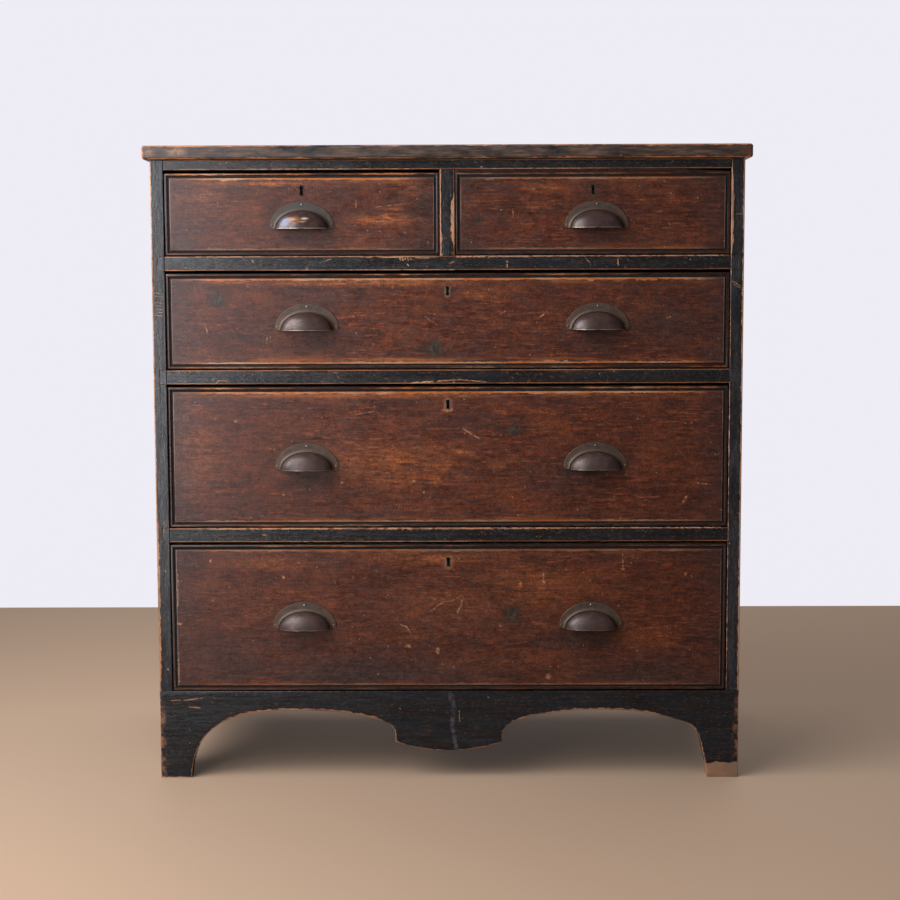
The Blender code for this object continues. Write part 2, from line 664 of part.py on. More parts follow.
def make_drawer(name, x, z, width, height, pull_mesh, pulls, pull_rise):
    home = bpy.data.objects.new(name, None)
    home.location = (x, FRONT_Y, z)
    bpy.data.collections["chest_of_drawers"].objects.link(home)

    outer = width / 2 - FRONT_GAP_SIDE
    inner = outer - BOX_SIDE_THICK
    front_bottom = FRONT_GAP_BELOW
    front_top = height - FRONT_GAP_ABOVE
    side_bottom = GAP
    side_top = front_top - SIDE_DROP
    front_rear = FRONT_SETBACK + FRONT_THICK
    tail_tip = FRONT_SETBACK + FRONT_LAP
    rear = CASE_DEPTH - BACK_THICK - REAR_GAP
    groove = (side_bottom + GROOVE_RISE, side_bottom + GROOVE_RISE + BOX_FLOOR_THICK + 2 * GAP)
    groove_front = front_rear - GROOVE_DEPTH
    back_z = (groove[1], side_top - BACK_DROP)

    front = make_drawer_front(name + "_front", outer, (front_bottom, front_top), home)
    back = box(name + "_back", (-outer, outer), (rear - BOX_BACK_THICK, rear), back_z, home)
    side_z = (side_bottom, side_top)
    for label, side in (("left", -1), ("right", 1)):
        side_x = (side * inner, side * outer)
        board = box(f"{name}_{label}_side", side_x, (tail_tip, rear), side_z, home)
        dovetail(board, front, side_x, front_rear, tail_tip, side_z, blind=True)
        dovetail(board, back, side_x, rear - BOX_BACK_THICK, rear, back_z, blind=False)
        groove_x = (side * (inner - OVERCUT), side * (inner + GROOVE_DEPTH))
        notch(board, groove_x, (groove_front, rear + OVERCUT), groove)
        finish(board, "bare_pine")
    reach = inner + GROOVE_DEPTH
    notch(front, (-reach, reach), (groove_front, front_rear + OVERCUT), groove)
    floor_z = (groove[0] + GAP, groove[0] + GAP + BOX_FLOOR_THICK)
    floor = box(name + "_bottom", (GAP - reach, reach - GAP), (groove_front + GAP, rear), floor_z, home)
    make_lock(name, front, front_top, home)
    finish(front, "stained_pine")
    finish(back, "bare_pine")
    finish(floor, "bare_pine")
    for pull, pull_x in pulls.items():
        make_pull(f"{name}_{pull}", pull_mesh, pull_x, front_bottom + pull_rise, home)


def make_drawers():
    pull = make_pull_mesh()
    for name, x, shift in (
        ("small_left_drawer", -SMALL_X, 0),
        ("small_right_drawer", SMALL_X, SMALL_RIGHT_PULL_SHIFT),
    ):
        make_drawer(name, x, SMALL_Z, SMALL_WIDTH, SMALL_OPENING, pull, {"pull": shift}, SMALL_PULL_RISE)
    for name, z, height, shift, rise in (
        ("upper_drawer", UPPER_Z, UPPER_OPENING, UPPER_PULL_SHIFT, UPPER_PULL_RISE),
        ("middle_drawer", MIDDLE_Z, MIDDLE_OPENING, MIDDLE_PULL_SHIFT, MIDDLE_PULL_RISE),
        ("lower_drawer", LOWER_Z, LOWER_OPENING, LOWER_PULL_SHIFT, LOWER_PULL_RISE),
    ):
        pulls = {"left_pull": shift - LONG_PULL_SPACING / 2, "right_pull": shift + LONG_PULL_SPACING / 2}
        make_drawer(name, 0, z, INNER_WIDTH, height, pull, pulls, rise)


clear_scene()
new_collection("chest_of_drawers")
new_collection("cutters")
for slot in MATERIALS:
    new_material(slot)
make_top_board()
make_side_board("left_side", -1)
make_side_board("right_side", 1)
make_rails()
make_divider()
make_shelves()
make_back()
make_apron()
make_drawers()
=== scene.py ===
import math
from contextlib import contextmanager

import bpy
from mathutils import Matrix, Vector


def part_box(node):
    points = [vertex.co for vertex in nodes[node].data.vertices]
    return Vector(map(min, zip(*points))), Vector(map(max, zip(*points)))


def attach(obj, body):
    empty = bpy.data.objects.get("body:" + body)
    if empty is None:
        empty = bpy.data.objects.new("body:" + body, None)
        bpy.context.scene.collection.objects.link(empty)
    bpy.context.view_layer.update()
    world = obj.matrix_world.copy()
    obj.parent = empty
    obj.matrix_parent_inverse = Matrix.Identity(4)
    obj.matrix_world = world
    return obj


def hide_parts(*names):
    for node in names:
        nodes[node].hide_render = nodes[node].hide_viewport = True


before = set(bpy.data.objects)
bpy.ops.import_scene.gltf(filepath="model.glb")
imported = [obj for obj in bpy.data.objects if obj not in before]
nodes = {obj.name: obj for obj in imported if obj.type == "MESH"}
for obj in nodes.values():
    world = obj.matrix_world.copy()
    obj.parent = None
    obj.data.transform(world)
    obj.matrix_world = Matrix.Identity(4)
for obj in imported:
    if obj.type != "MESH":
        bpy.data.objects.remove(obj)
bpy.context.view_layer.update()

# Places on the chest, in metres
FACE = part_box("apron")[0].y
DRAWER_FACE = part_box("lower_drawer_front")[0].y
PULL_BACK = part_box("lower_drawer_left_pull")[1].y
BEAD = 0.0045
QUIRK = 0.003
KEY_DROP = 0.0265

# How far edges are worn round, in metres
CASE_ROUNDING = 0.0009
APRON_ROUNDING = 0.0012
TOP_ROUNDING = 0.0042
BEAD_ROUNDING = 0.0017
PANEL_ROUNDING = 0.0009

DRAWERS = ("small_left_drawer", "small_right_drawer", "upper_drawer", "middle_drawer", "lower_drawer")
RAILS = ("top_rail", "upper_rail", "middle_rail", "lower_rail")


def picked(red, green, blue):
    """A colour as it looks on a screen, in the shaders' own values."""
    values = []
    for part in (red, green, blue):
        part = part / 255
        values.append(part / 12.92 if part < 0.04 else ((part + 0.055) / 1.055) ** 2.4)
    return (*values, 1.0)


# Colours
PAINT = picked(29, 28, 29)
PAINT_COOL = picked(28, 33, 38)
PAINT_FADED_AND_SHEEN = picked(92, 92, 96)
PAINT_THIN = picked(80, 60, 50)
PAINT_LINE = picked(176, 110, 68)
PAINT_EDGE = picked(66, 38, 28)
TOP_WORN = picked(108, 84, 66)
TOP_TAN = picked(142, 108, 82)
TOP_RED = picked(128, 70, 46)
WORN_WOOD = picked(196, 124, 74)
WORN_WOOD_DULL = picked(120, 78, 52)
WORN_WOOD_PALE = picked(206, 168, 138)
STAIN_DEEP = picked(52, 29, 24)
STAIN_MID = picked(99, 48, 29)
STAIN_LIGHT = picked(156, 82, 43)
STAIN_RUBBED = picked(198, 112, 56)
STAIN_RUBBED_PALE = picked(206, 156, 116)
STAIN_DARKENED = tuple(0.4 * stain + 0.6 * darkened_share for stain, darkened_share in zip(STAIN_DEEP, picked(64, 52, 51)))
CHIP = picked(196, 132, 86)
BEAD_DARK = picked(58, 36, 31)
DARK_CRACKS_AND_SHADE = picked(20, 15, 14)
KNOT_DARK = picked(42, 36, 33)
KNOT_GREY = picked(84, 76, 62)
SCRATCH_PALE = picked(188, 136, 104)
ARRIS_HIGHLIGHT = picked(164, 132, 116)
KEY_PALE = picked(150, 132, 116)
PINE_PALE = picked(196, 162, 116)
PINE_DARK = picked(142, 104, 66)
PINE_DUST = picked(112, 88, 66)


# Shader steps

class Value:
    """What a shader step gives. It is added, multiplied and compared like a number."""

    def __init__(self, socket):
        self.socket = socket

    def __add__(self, other):
        return maths("ADD", self, other)

    def __radd__(self, other):
        return maths("ADD", other, self)

    def __sub__(self, other):
        return maths("SUBTRACT", self, other)

    def __rsub__(self, other):
        return maths("SUBTRACT", other, self)

    def __mul__(self, other):
        return maths("MULTIPLY", self, other)

    def __rmul__(self, other):
        return maths("MULTIPLY", other, self)

    def __truediv__(self, other):
        return maths("DIVIDE", self, other)

    def __abs__(self):
        return maths("ABSOLUTE", self)

    def __lt__(self, other):
        return maths("LESS_THAN", self, other)

    def __gt__(self, other):
        return maths("GREATER_THAN", self, other)


def new_step(kind, values):
    """A shader step, in the tree that the first value from a step is in."""
    tree = next(value.socket.id_data for value in values if isinstance(value, Value))
    return tree.nodes.new(kind)


def join(value, socket):
    """Links a step's value to a socket, or sets the socket to a plain one."""
    if isinstance(value, Value):
        socket.id_data.links.new(value.socket, socket)
    else:
        socket.default_value = value


def outputs_of(step):
    return {socket.name: Value(socket) for socket in step.outputs}


def maths(operation, *values):
    step = new_step("ShaderNodeMath", values)
    step.operation = operation
    for value, socket in zip(values, step.inputs):
        join(value, socket)
    return Value(step.outputs[0])


def most(first, second):
    return maths("MAXIMUM", first, second)


def least(first, second):
    return maths("MINIMUM", first, second)


def vectors(operation, *values):
    step = new_step("ShaderNodeVectorMath", values)
    step.operation = operation
    for value, socket in zip(values, step.inputs):
        join(value, socket)
    return Value(step.outputs["Value" if operation in ("LENGTH", "DOT_PRODUCT") else "Vector"])


def ramp(value, low, high, start=0.0, end=1.0):
    """Goes smoothly from start to end as the value goes from low to high."""
    step = new_step("ShaderNodeMapRange", (value, low, high))
    step.interpolation_type = "SMOOTHSTEP"
    settings = {"Value": value, "From Min": low, "From Max": high, "To Min": start, "To Max": end}
    for label, setting in settings.items():
        join(setting, step.inputs[label])
    return Value(step.outputs["Result"])


def clouds(place, scale, detail=2.0, roughness=0.5):
    """A cloud texture. The scale is how many fit in a metre, along each axis."""
    step = new_step("ShaderNodeTexNoise", (place,))
    step.inputs["Scale"].default_value = 1.0
    step.inputs["Detail"].default_value = detail
    step.inputs["Roughness"].default_value = roughness
    spread = scale if isinstance(scale, tuple) else (scale, scale, scale)
    join(vectors("MULTIPLY", place, spread), step.inputs["Vector"])
    return step.outputs


def noise(place, scale, detail=2.0, roughness=0.5):
    return Value(clouds(place, scale, detail, roughness)["Fac"])


def mixed(share, first, second, blend="MIX"):
    """Goes from the first colour to the second with the share."""
    step = new_step("ShaderNodeMix", (share, first, second))
    step.data_type = "RGBA"
    step.blend_type = blend
    join(share, step.inputs[0])
    join(first, step.inputs[6])
    join(second, step.inputs[7])
    return Value(step.outputs[2])


def mixed_value(share, first, second):
    """Goes from the first value to the second with the share."""
    step = new_step("ShaderNodeMix", (share, first, second))
    join(share, step.inputs[0])
    join(first, step.inputs[2])
    join(second, step.inputs[3])
    return Value(step.outputs[0])


def split(place):
    step = new_step("ShaderNodeSeparateXYZ", (place,))
    join(place, step.inputs[0])
    return [Value(socket) for socket in step.outputs]


def joined(x, y, z):
    step = new_step("ShaderNodeCombineXYZ", (x, y, z))
    for value, socket in zip((x, y, z), step.inputs):
        join(value, socket)
    return Value(step.outputs[0])


def all_round(value):
    """The same value along all three axes."""
    return joined(value, value, value)


def new_group(name, inputs, outputs):
    """A node group, with its given values by name and its output sockets."""
    tree = bpy.data.node_groups.new(name, "ShaderNodeTree")
    for label, value in inputs.items():
        kind = "NodeSocketVector" if isinstance(value, tuple) else "NodeSocketFloat"
        socket = tree.interface.new_socket(label, in_out="INPUT", socket_type=kind)
        socket.default_value = value
    for label in outputs:
        tree.interface.new_socket(label, in_out="OUTPUT", socket_type="NodeSocketFloat")
    return tree, outputs_of(tree.nodes.new("NodeGroupInput")), tree.nodes.new("NodeGroupOutput").inputs


def use(group, **values):
    """Places a node group, and gives its outputs by name."""
    step = new_step("ShaderNodeGroup", values.values())
    step.node_tree = group
    for label, value in values.items():
        join(value, step.inputs[label])
    return outputs_of(step)


# Effects that several finishes share

def make_board_edges():
    """How far a place on a box-shaped board is from its ends, its faces, its sides and its nearest edge."""
    inputs = {"place": (0, 0, 0), "low": (0, 0, 0), "high": (1, 1, 1)}
    tree, given, made = new_group("board edges", inputs, ("ends", "faces", "sides", "edge"))
    from_low = vectors("SUBTRACT", given["place"], given["low"])
    from_high = vectors("SUBTRACT", given["high"], given["place"])
    x, y, z = split(vectors("MINIMUM", from_low, from_high))
    middle = x + y + z - least(least(x, y), z) - most(most(x, y), z)
    for label, value in (("ends", x), ("faces", y), ("sides", z), ("edge", middle)):
        join(value, made[label])
    return tree


def make_edge_wear():
    """Wear along an edge that runs along X: a ragged line on a share of it, with chips that reach further."""
    inputs = {"place": (0, 0, 0), "edge": 0.0, "width": 0.002, "cover": 0.5, "chips": 0.003, "seed": 0.0}
    tree, given, made = new_group("edge wear", inputs, ("worn", "rim"))
    place = vectors("ADD", given["place"], all_round(given["seed"]))
    span = noise(place, 9.0, 3.0, 0.6) + given["cover"]
    long = ramp(span, 0.88, 1.12)
    patch = ramp(noise(place, (22.0, 44.0, 44.0), 3.0, 0.6), 0.58, 0.76)
    fine = noise(place, (85.0, 240.0, 240.0), 3.0, 0.65) - 0.5
    line = long * (fine * 2.0 + 0.9)
    limit = given["width"] * line
    limit = given["chips"] * patch * long + limit
    gap = limit - given["edge"]
    join(ramp(gap, 0.0, 0.0005), made["worn"])
    join(ramp(gap, -0.0011, 0.0001), made["rim"])
    return tree


def make_pine_grain():
    """Flat-sawn pine, with its grain along X: growth rings, long streaks and fine fibres."""
    inputs = {"place": (0, 0, 0), "seed": 0.0, "ring": 0.007, "heart": 0.0}
    tree, given, made = new_group("pine grain", inputs, ("rings", "streaks", "fibres"))
    place = vectors("ADD", given["place"], all_round(given["seed"]))
    _, y, z = split(given["place"])
    sway = noise(place, (1.6, 3.0, 4.0), 2.0) - 0.5
    across = sway * 0.09 + z - given["heart"]
    depth = noise(place, (0.9, 1.0, 1.0), 1.0) * 0.05 + abs(y)
    radius = vectors("LENGTH", joined(0.0, depth, across))
    ripple = noise(place, (14.0, 60.0, 60.0), 2.0) - 0.5
    turn = ripple * 0.5 + radius / given["ring"]
    year = maths("FRACT", turn)
    rise = ramp(year, 0.35, 0.88)
    fall = ramp(year, 0.9, 1.0, 1.0, 0.0)
    join(rise * fall, made["rings"])
    join(noise(place, (22.0, 210.0, 210.0), 4.0, 0.7), made["streaks"])
    join(noise(place, (105.0, 430.0, 430.0), 4.0, 0.7), made["fibres"])
    return tree


def make_spot():
    """An oval spot on a board's face, such as a knot, a stain or a chip."""
    inputs = {"place": (0, 0, 0), "middle": (0, 0, 0), "width": 0.01, "height": 0.01, "soft": 0.4}
    tree, given, made = new_group("spot", inputs, ("spot",))
    x, _, z = split(vectors("SUBTRACT", given["place"], given["middle"]))
    wide = x / given["width"]
    tall = z / given["height"]
    away = vectors("LENGTH", joined(wide, 0.0, tall))
    start = 1.0 - given["soft"]
    join(ramp(away, start, 1.0, 1.0, 0.0), made["spot"])
    return tree


def make_scratch():
    """A straight scratch on a board's face."""
    inputs = {"place": (0, 0, 0), "start": (0, 0, 0), "end": (1, 0, 0), "width": 0.0008}
    tree, given, made = new_group("scratch", inputs, ("scratch",))
    flat = (1, 0, 1)
    run = vectors("SUBTRACT", given["end"], given["start"])
    gone = vectors("MULTIPLY", vectors("SUBTRACT", given["place"], given["start"]), flat)
    square = vectors("DOT_PRODUCT", run, run)
    share = vectors("DOT_PRODUCT", gone, run) / square
    share = least(most(share, 0.0), 1.0)
    nearest = vectors("MULTIPLY", run, all_round(share))
    away = vectors("LENGTH", vectors("SUBTRACT", gone, nearest))
    inner = given["width"] * 0.3
    join(ramp(away, inner, given["width"], 1.0, 0.0), made["scratch"])
    return tree


def make_dings():
    """Small dents and chips, scattered over a face."""
    inputs = {"place": (0, 0, 0), "scale": 60.0, "share": 0.2, "size": 0.2, "seed": 0.0}
    tree, given, made = new_group("dings", inputs, ("ding",))
    bend = noise(given["place"], 150.0, 2.0) * 0.006
    x, _, z = split(given["place"])
    shifted = joined(x + bend, given["seed"], z - bend)
    step = tree.nodes.new("ShaderNodeTexVoronoi")
    step.inputs["Scale"].default_value = 1.0
    join(vectors("MULTIPLY", shifted, all_round(given["scale"])), step.inputs["Vector"])
    cells = outputs_of(step)
    chance, much, _ = split(cells["Color"])
    here = chance < given["share"]
    reach = given["size"] * (much * 0.8 + 0.2)
    inside = ramp(cells["Distance"], reach * 0.6, reach, 1.0, 0.0)
    join(here * inside, made["ding"])
    return tree


BOARD_EDGES = make_board_edges()
EDGE_WEAR = make_edge_wear()
PINE_GRAIN = make_pine_grain()
SPOT = make_spot()
SCRATCH = make_scratch()
DINGS = make_dings()


def spot_at(place, x, z, width, height, soft):
    return use(SPOT, place=place, middle=(x, 0, z), width=width, height=height, soft=soft)["spot"]


def scratch_from(place, x, z, to_x, to_z, width):
    return use(SCRATCH, place=place, start=(x, 0, z), end=(to_x, 0, to_z), width=width)["scratch"]


def edges_of(place, box):
    return use(BOARD_EDGES, place=place, low=tuple(box[0]), high=tuple(box[1]))


# Finishes

def new_finish(name):
    """A material, with its surface shader and the place on the chest that it colours."""
    finish = bpy.data.materials.new(name)
    finish.use_nodes = True
    steps = finish.node_tree.nodes
    return finish, steps["Principled BSDF"], Value(steps.new("ShaderNodeTexCoord").outputs["Object"])


def carried(surface, label):
    """A value that the mesh itself carries."""
    step = surface.id_data.nodes.new("ShaderNodeAttribute")
    step.attribute_name = label
    return Value(step.outputs["Fac"])


def raise_surface(surface, height, depth):
    """Gives a surface its relief, from a height of 0 to 1 over a depth in metres."""
    relief = surface.id_data.nodes.new("ShaderNodeBump")
    relief.inputs["Distance"].default_value = depth
    join(height, relief.inputs["Height"])
    join(Value(relief.outputs["Normal"]), surface.inputs["Normal"])


def along(place, axis):
    """The place, turned so that the grain runs along X."""
    if axis == "x":
        return place
    x, y, z = split(place)
    return joined(y, x, z) if axis == "y" else joined(z, y, x)


def roughened(place, amount):
    """The place, moved a little to and fro, for ragged outlines."""
    cloud = Value(clouds(place, 190.0, 3.0)["Color"])
    shift = vectors("MULTIPLY_ADD", cloud, (amount,) * 3, (-amount / 2,) * 3)
    return vectors("ADD", place, shift)


def bare_pine(name, axis, seed, dust=0.25, heart=0.0, box=None):
    """Unpainted pine that has gone brown with age. A board's box gives it dark joints along its edges."""
    finish, surface, place = new_finish(name)
    turned = along(place, axis)
    grain = use(PINE_GRAIN, place=turned, seed=seed, ring=0.009, heart=heart)
    colour = mixed(grain["rings"], PINE_PALE, PINE_DARK)
    colour = mixed(ramp(grain["streaks"], 0.4, 0.75, 0.0, 0.5), colour, PINE_DARK)
    darkened_share = ramp(noise(place, 6.0, 4.0, 0.6), 0.42, 0.75, 0.0, 1.0)
    colour = mixed(darkened_share * (dust + 0.35), colour, PINE_DUST)
    colour = mixed(dust, colour, PINE_DUST)
    if box:
        sides = edges_of(place, box)
        joint = ramp(least(sides["ends"], sides["sides"]), 0.0004, 0.0022, 0.85, 0.0)
        colour = mixed(joint, colour, DARK_CRACKS_AND_SHADE)
    join(colour, surface.inputs["Base Color"])
    surface.inputs["Roughness"].default_value = 0.8
    height = grain["rings"] * 0.5 + grain["fibres"]
    raise_surface(surface, height, 0.0004)
    return finish


def painted_pine(
    name, axis, seed, box, width=0.0015, cover=0.42, chips=0.0034, specks=0.75, pale=0.3, top=None,
    worn_through=None, extra=None
):
    """Blue-black paint on pine, rubbed through along the edges of the board's box, or else along its outline.

    pale is how far bare wood has bleached, from 0 to 0.6. top is the height of an upper edge that isn't worn.
    """
    finish, surface, place = new_finish(name)
    turned = along(place, axis)
    grain = use(PINE_GRAIN, place=turned, seed=seed, ring=0.006, heart=seed)
    if box:
        edge = edges_of(place, box)["edge"]
    else:
        edge = carried(surface, "edge_distance")
    if top is not None:
        edge += ramp(split(place)[2], top - 0.006, top - 0.002)
    wear = use(EDGE_WEAR, place=turned, edge=edge, width=width, cover=cover, chips=chips, seed=seed)
    worn, rim = wear["worn"], wear["rim"]
    small = use(DINGS, place=place, scale=95.0, share=0.16, size=0.15, seed=seed)["ding"]
    worn = most(worn, small)
    faded_and_sheen, seam, bleached, tints = 0.0, 0.0, 0.0, ()
    if extra:
        more = extra(place, edge)
        worn = most(worn, more.get("worn", 0.0))
        rim = most(rim, more.get("rim", 0.0))
        faded_and_sheen = more.get("faded_and_sheen", 0.0)
        seam = more.get("seam", 0.0)
        bleached = more.get("bleached", 0.0)
        tints = more.get("tints", ())

    # Paint: brush marks along the board, rubbed thin in places
    brush = ramp(noise(turned, (14.0, 330.0, 330.0), 4.0, 0.7), 0.34, 0.68, 0.76, 1.28)
    cool = ramp(noise(turned, (9.0, 75.0, 75.0), 3.0, 0.6), 0.42, 0.6)
    base = mixed(cool, PAINT, PAINT_COOL)
    thin = ramp(noise(turned, (14.0, 60.0, 60.0), 4.0, 0.65), 0.5, 0.72, 0.0, 0.7)
    thin = thin * ramp(grain["fibres"], 0.4, 0.6)
    speck = ramp(noise(turned, (150.0, 280.0, 280.0), 4.0, 0.75), 0.53, 0.64)
    thin = most(thin, speck) * specks
    paint = mixed(thin, base, PAINT_THIN)
    elsewhere = vectors("ADD", turned, (3.0, 1.0, 2.0))
    bare = ramp(noise(elsewhere, (150.0, 300.0, 300.0), 4.0, 0.75), 0.62, 0.68)
    bare = bare * ramp(edge, 0.003, 0.012, 0.9 * specks, 0.4 * specks)
    paint = mixed(bare, paint, PAINT_LINE)
    line = ramp(noise(turned, (12.0, 40.0, 40.0), 3.0, 0.6), 0.34, 0.56, 0.35, 1.0)
    line = line * ramp(edge, 0.0009, 0.0020, 1.0, 0.0)
    paint = mixed(line, paint, PAINT_LINE)
    patch = 0.0
    if worn_through:
        share, tint = worn_through
        patch = noise(place, (14.0, 40.0, 40.0), 4.0, 0.65)
        patch = ramp(patch, 0.3, 0.62) * share
        streak = ramp(noise(turned, (30.0, 260.0, 260.0), 4.0, 0.7), 0.38, 0.62)
        paint = mixed(patch, paint, mixed(streak, tint, PAINT_EDGE))
    for share, tint in tints:
        paint = mixed(share, paint, tint)
    # Faded paint, such as the drip, and pale patches on the side boards that are partly dust and partly a
    # painted sheen
    faded_and_sheen = faded_and_sheen * ramp(grain["fibres"], 0.35, 0.6, 0.35, 1.0)
    paint = mixed(faded_and_sheen, paint, PAINT_FADED_AND_SHEEN)
    tone = ramp(noise(place, 3.5, 3.0), 0.3, 0.7, 0.85, 1.12)
    tone = tone * brush
    paint = mixed(1.0, paint, all_round(tone), "MULTIPLY")
    paint = mixed(rim * 0.7, paint, PAINT_EDGE)
    dull = ramp(noise(place, 22.0, 3.0, 0.6), 0.4, 0.62)
    dull = most(dull, ramp(grain["fibres"], 0.5, 0.72, 0.0, 0.8))
    wood = mixed(dull, WORN_WOOD, WORN_WOOD_DULL)
    weather = ramp(noise(turned, (16.0, 30.0, 30.0), 3.0, 0.6), 0.38, 0.62, pale * 0.5, pale * 1.5)
    wood = mixed(most(weather, bleached), wood, WORN_WOOD_PALE)
    colour = mixed(worn, paint, wood)
    colour = mixed(seam, colour, DARK_CRACKS_AND_SHADE)
    join(colour, surface.inputs["Base Color"])
    polish = ramp(noise(turned, (26.0, 130.0, 130.0), 4.0, 0.7), 0.34, 0.66, 0.18, 0.33)
    dry = most(worn, patch * 0.8)
    join(mixed_value(dry, polish, 0.62), surface.inputs["Roughness"])
    surface.inputs["Specular IOR Level"].default_value = 0.55
    coat = (1.0 - worn) * 0.5 + grain["fibres"] * 0.5 - seam * 0.6
    coat += noise(turned, (24.0, 240.0, 240.0), 3.0, 0.6) * 0.7 + noise(place, 45.0, 3.0) * 0.7
    raise_surface(surface, coat, 0.0006)
    return finish


def stained_front(
    name, box, pulls, seed, key_wear, edges, beads, knots=(), rubbed=(), pale=(), dark=(), chips=(), dim=()
):
    """Red-brown stain on a drawer front, with the wear and marks of its own face, as FRONTS gives them. Shade
    is painted into the quirk and under the pulls, and a highlight along the panel's arris near its ends.
    """
    finish, surface, place = new_finish(name)
    low, high = box
    sides = edges_of(place, box)
    ends, up_down = sides["ends"], sides["sides"]
    ragged = roughened(place, 0.0024)
    uneven = roughened(place, 0.0085)
    torn = roughened(place, 0.0045)

    # The grain bends round the knots
    bent = place
    for x, z, radius in knots:
        near_knot = spot_at(place, x, z, radius * 5, radius * 3, 1.0)
        bent = vectors("ADD", bent, joined(0.0, 0.0, near_knot * radius * 0.9))
    grain = use(PINE_GRAIN, place=bent, seed=seed, ring=0.0085, heart=(low.z + high.z) / 2 + 0.02)
    fibre = ramp(grain["fibres"], 0.38, 0.62)
    colour = mixed(ramp(grain["streaks"], 0.4, 0.62, 0.0, 0.6), STAIN_MID, STAIN_DEEP)
    colour = mixed(grain["rings"] * 0.28, colour, STAIN_DEEP)
    cloud = ramp(noise(place, (13.0, 13.0, 26.0), 5.0, 0.7), 0.46, 0.7)
    light = cloud * (fibre * 0.5 + 0.05)
    colour = mixed(light, colour, STAIN_LIGHT)
    lines = ramp(noise(place, (30.0, 320.0, 320.0), 4.0, 0.7), 0.52, 0.66)
    lines = lines * ramp(noise(place, (7.0, 7.0, 14.0), 3.0, 0.6), 0.36, 0.66, 0.12, 0.6)
    colour = mixed(lines, colour, STAIN_LIGHT)
    worn = 0.0
    for x, z, wide, tall, share in rubbed:
        spot = spot_at(ragged, x, z, wide, tall, 1.0)
        worn = most(worn, spot * share)
    streaky = ramp(noise(place, (34.0, 240.0, 240.0), 4.0, 0.7), 0.38, 0.6)
    worn = worn * (streaky * 0.85 + 0.15)
    colour = mixed(worn, colour, STAIN_RUBBED)

    # Darker round the pulls where hands have been, with a painted shadow and grime below each cup, and darker
    # towards the ends, the upper and lower edges and the dim places
    for x, z in pulls:
        grime_and_painted_shadow = spot_at(ragged, x, z + 0.006, 0.08, 0.062, 0.8)
        # Painted shadow under the cup, with grime
        below = spot_at(ragged, x, z - 0.018, 0.075, 0.034, 1.0)
        grime_and_painted_shadow = most(grime_and_painted_shadow * 0.4, below * 0.6)
        colour = mixed(grime_and_painted_shadow, colour, STAIN_DEEP)
    cloudy = noise(place, 16.0, 4.0, 0.6) * 0.07
    clear_ends = ramp(ends + cloudy, 0.03, 0.11, 0.45, 1.0)
    clear_sides = ramp(up_down * 1.8 + cloudy, 0.03, 0.10, 0.62, 1.0)
    darkened_share = 1.0 - clear_ends * clear_sides
    for x, z, wide, tall, share in dim:
        spot = spot_at(ragged, x, z, wide, tall, 1.0)
        darkened_share = most(darkened_share, spot * share)
    colour = mixed(darkened_share, colour, STAIN_DARKENED)
    fine = ramp(grain["fibres"], 0.32, 0.66, 1.24, 0.72)
    mottle = ramp(noise(place, (130.0, 130.0, 150.0), 4.0, 0.7), 0.34, 0.66, 1.26, 0.76)
    speckle = ramp(noise(place, (400.0, 400.0, 400.0), 2.0, 0.6), 0.35, 0.65, 1.26, 0.76)
    tone = fine * mottle * speckle
    colour = mixed(1.0, colour, all_round(tone), "MULTIPLY")
    pores = ramp(noise(place, (110.0, 420.0, 420.0), 3.0, 0.75), 0.6, 0.68, 0.0, 0.55)
    colour = mixed(pores, colour, KNOT_DARK)

    # Knots, stains and scratches
    for x, z, radius in knots:
        eye = spot_at(uneven, x, z, radius * 1.2, radius * 1.25, 0.8)
        core = spot_at(uneven, x, z, radius, radius, 0.8)
        around = spot_at(ragged, x, z, radius * 2.4, radius * 1.5, 1.0)
        colour = mixed(around * 0.45, colour, STAIN_DEEP)
        grey = ramp(noise(place, (220.0, 220.0, 120.0), 4.0, 0.7), 0.38, 0.6)
        eye_tint = mixed(grey, KNOT_DARK, KNOT_GREY)
        colour = mixed(eye * 0.8, colour, eye_tint)
        cracks = noise(place, (260.0, 260.0, 120.0), 3.0, 0.6)
        cracks = ramp(abs(cracks - 0.5), 0.008, 0.03, 0.75, 0.0)
        rings = (eye - core) * 0.5
        cracks = most(cracks * core, rings)
        colour = mixed(cracks, colour, DARK_CRACKS_AND_SHADE)
    broken = ramp(noise(place, 200.0, 3.0), 0.4, 0.58, 0.1, 1.0)
    for marks, tint, much in ((pale, SCRATCH_PALE, 0.8), (dark, DARK_CRACKS_AND_SHADE, 0.6)):
        for x, z, to_x, to_z, width in marks:
            mark = scratch_from(ragged, x, z, to_x, to_z, width * 1.3)
            mark = mark * broken
            colour = mixed(mark * much, colour, tint)
    for x, z, wide, tall in chips:
        chip = spot_at(torn, x, z, wide * 1.5, tall * 1.4, 0.7)
        chip = chip * ramp(noise(place, 330.0, 3.0, 0.7), 0.4, 0.58, 0.1, 0.85)
        colour = mixed(chip, colour, CHIP)
    dings = use(DINGS, place=place, scale=110.0, share=0.26, size=0.17, seed=seed)["ding"]
    pits = use(DINGS, place=place, scale=140.0, share=0.24, size=0.17, seed=seed + 3.0)["ding"]
    colour = mixed(dings * 0.42, colour, SCRATCH_PALE)
    colour = mixed(pits * 0.62, colour, KNOT_DARK)

    # Worn round the keyhole
    key_x, key_z = (low.x + high.x) / 2, high.z - KEY_DROP
    key_tint, key_share = key_wear
    for width, tint, much in ((0.0104, key_tint, 0.6), (0.0066, KEY_PALE, 1.0)):
        mark = scratch_from(ragged, key_x, key_z - 0.0055, key_x, key_z + 0.0035, width)
        colour = mixed(mark * key_share * much, colour, tint)

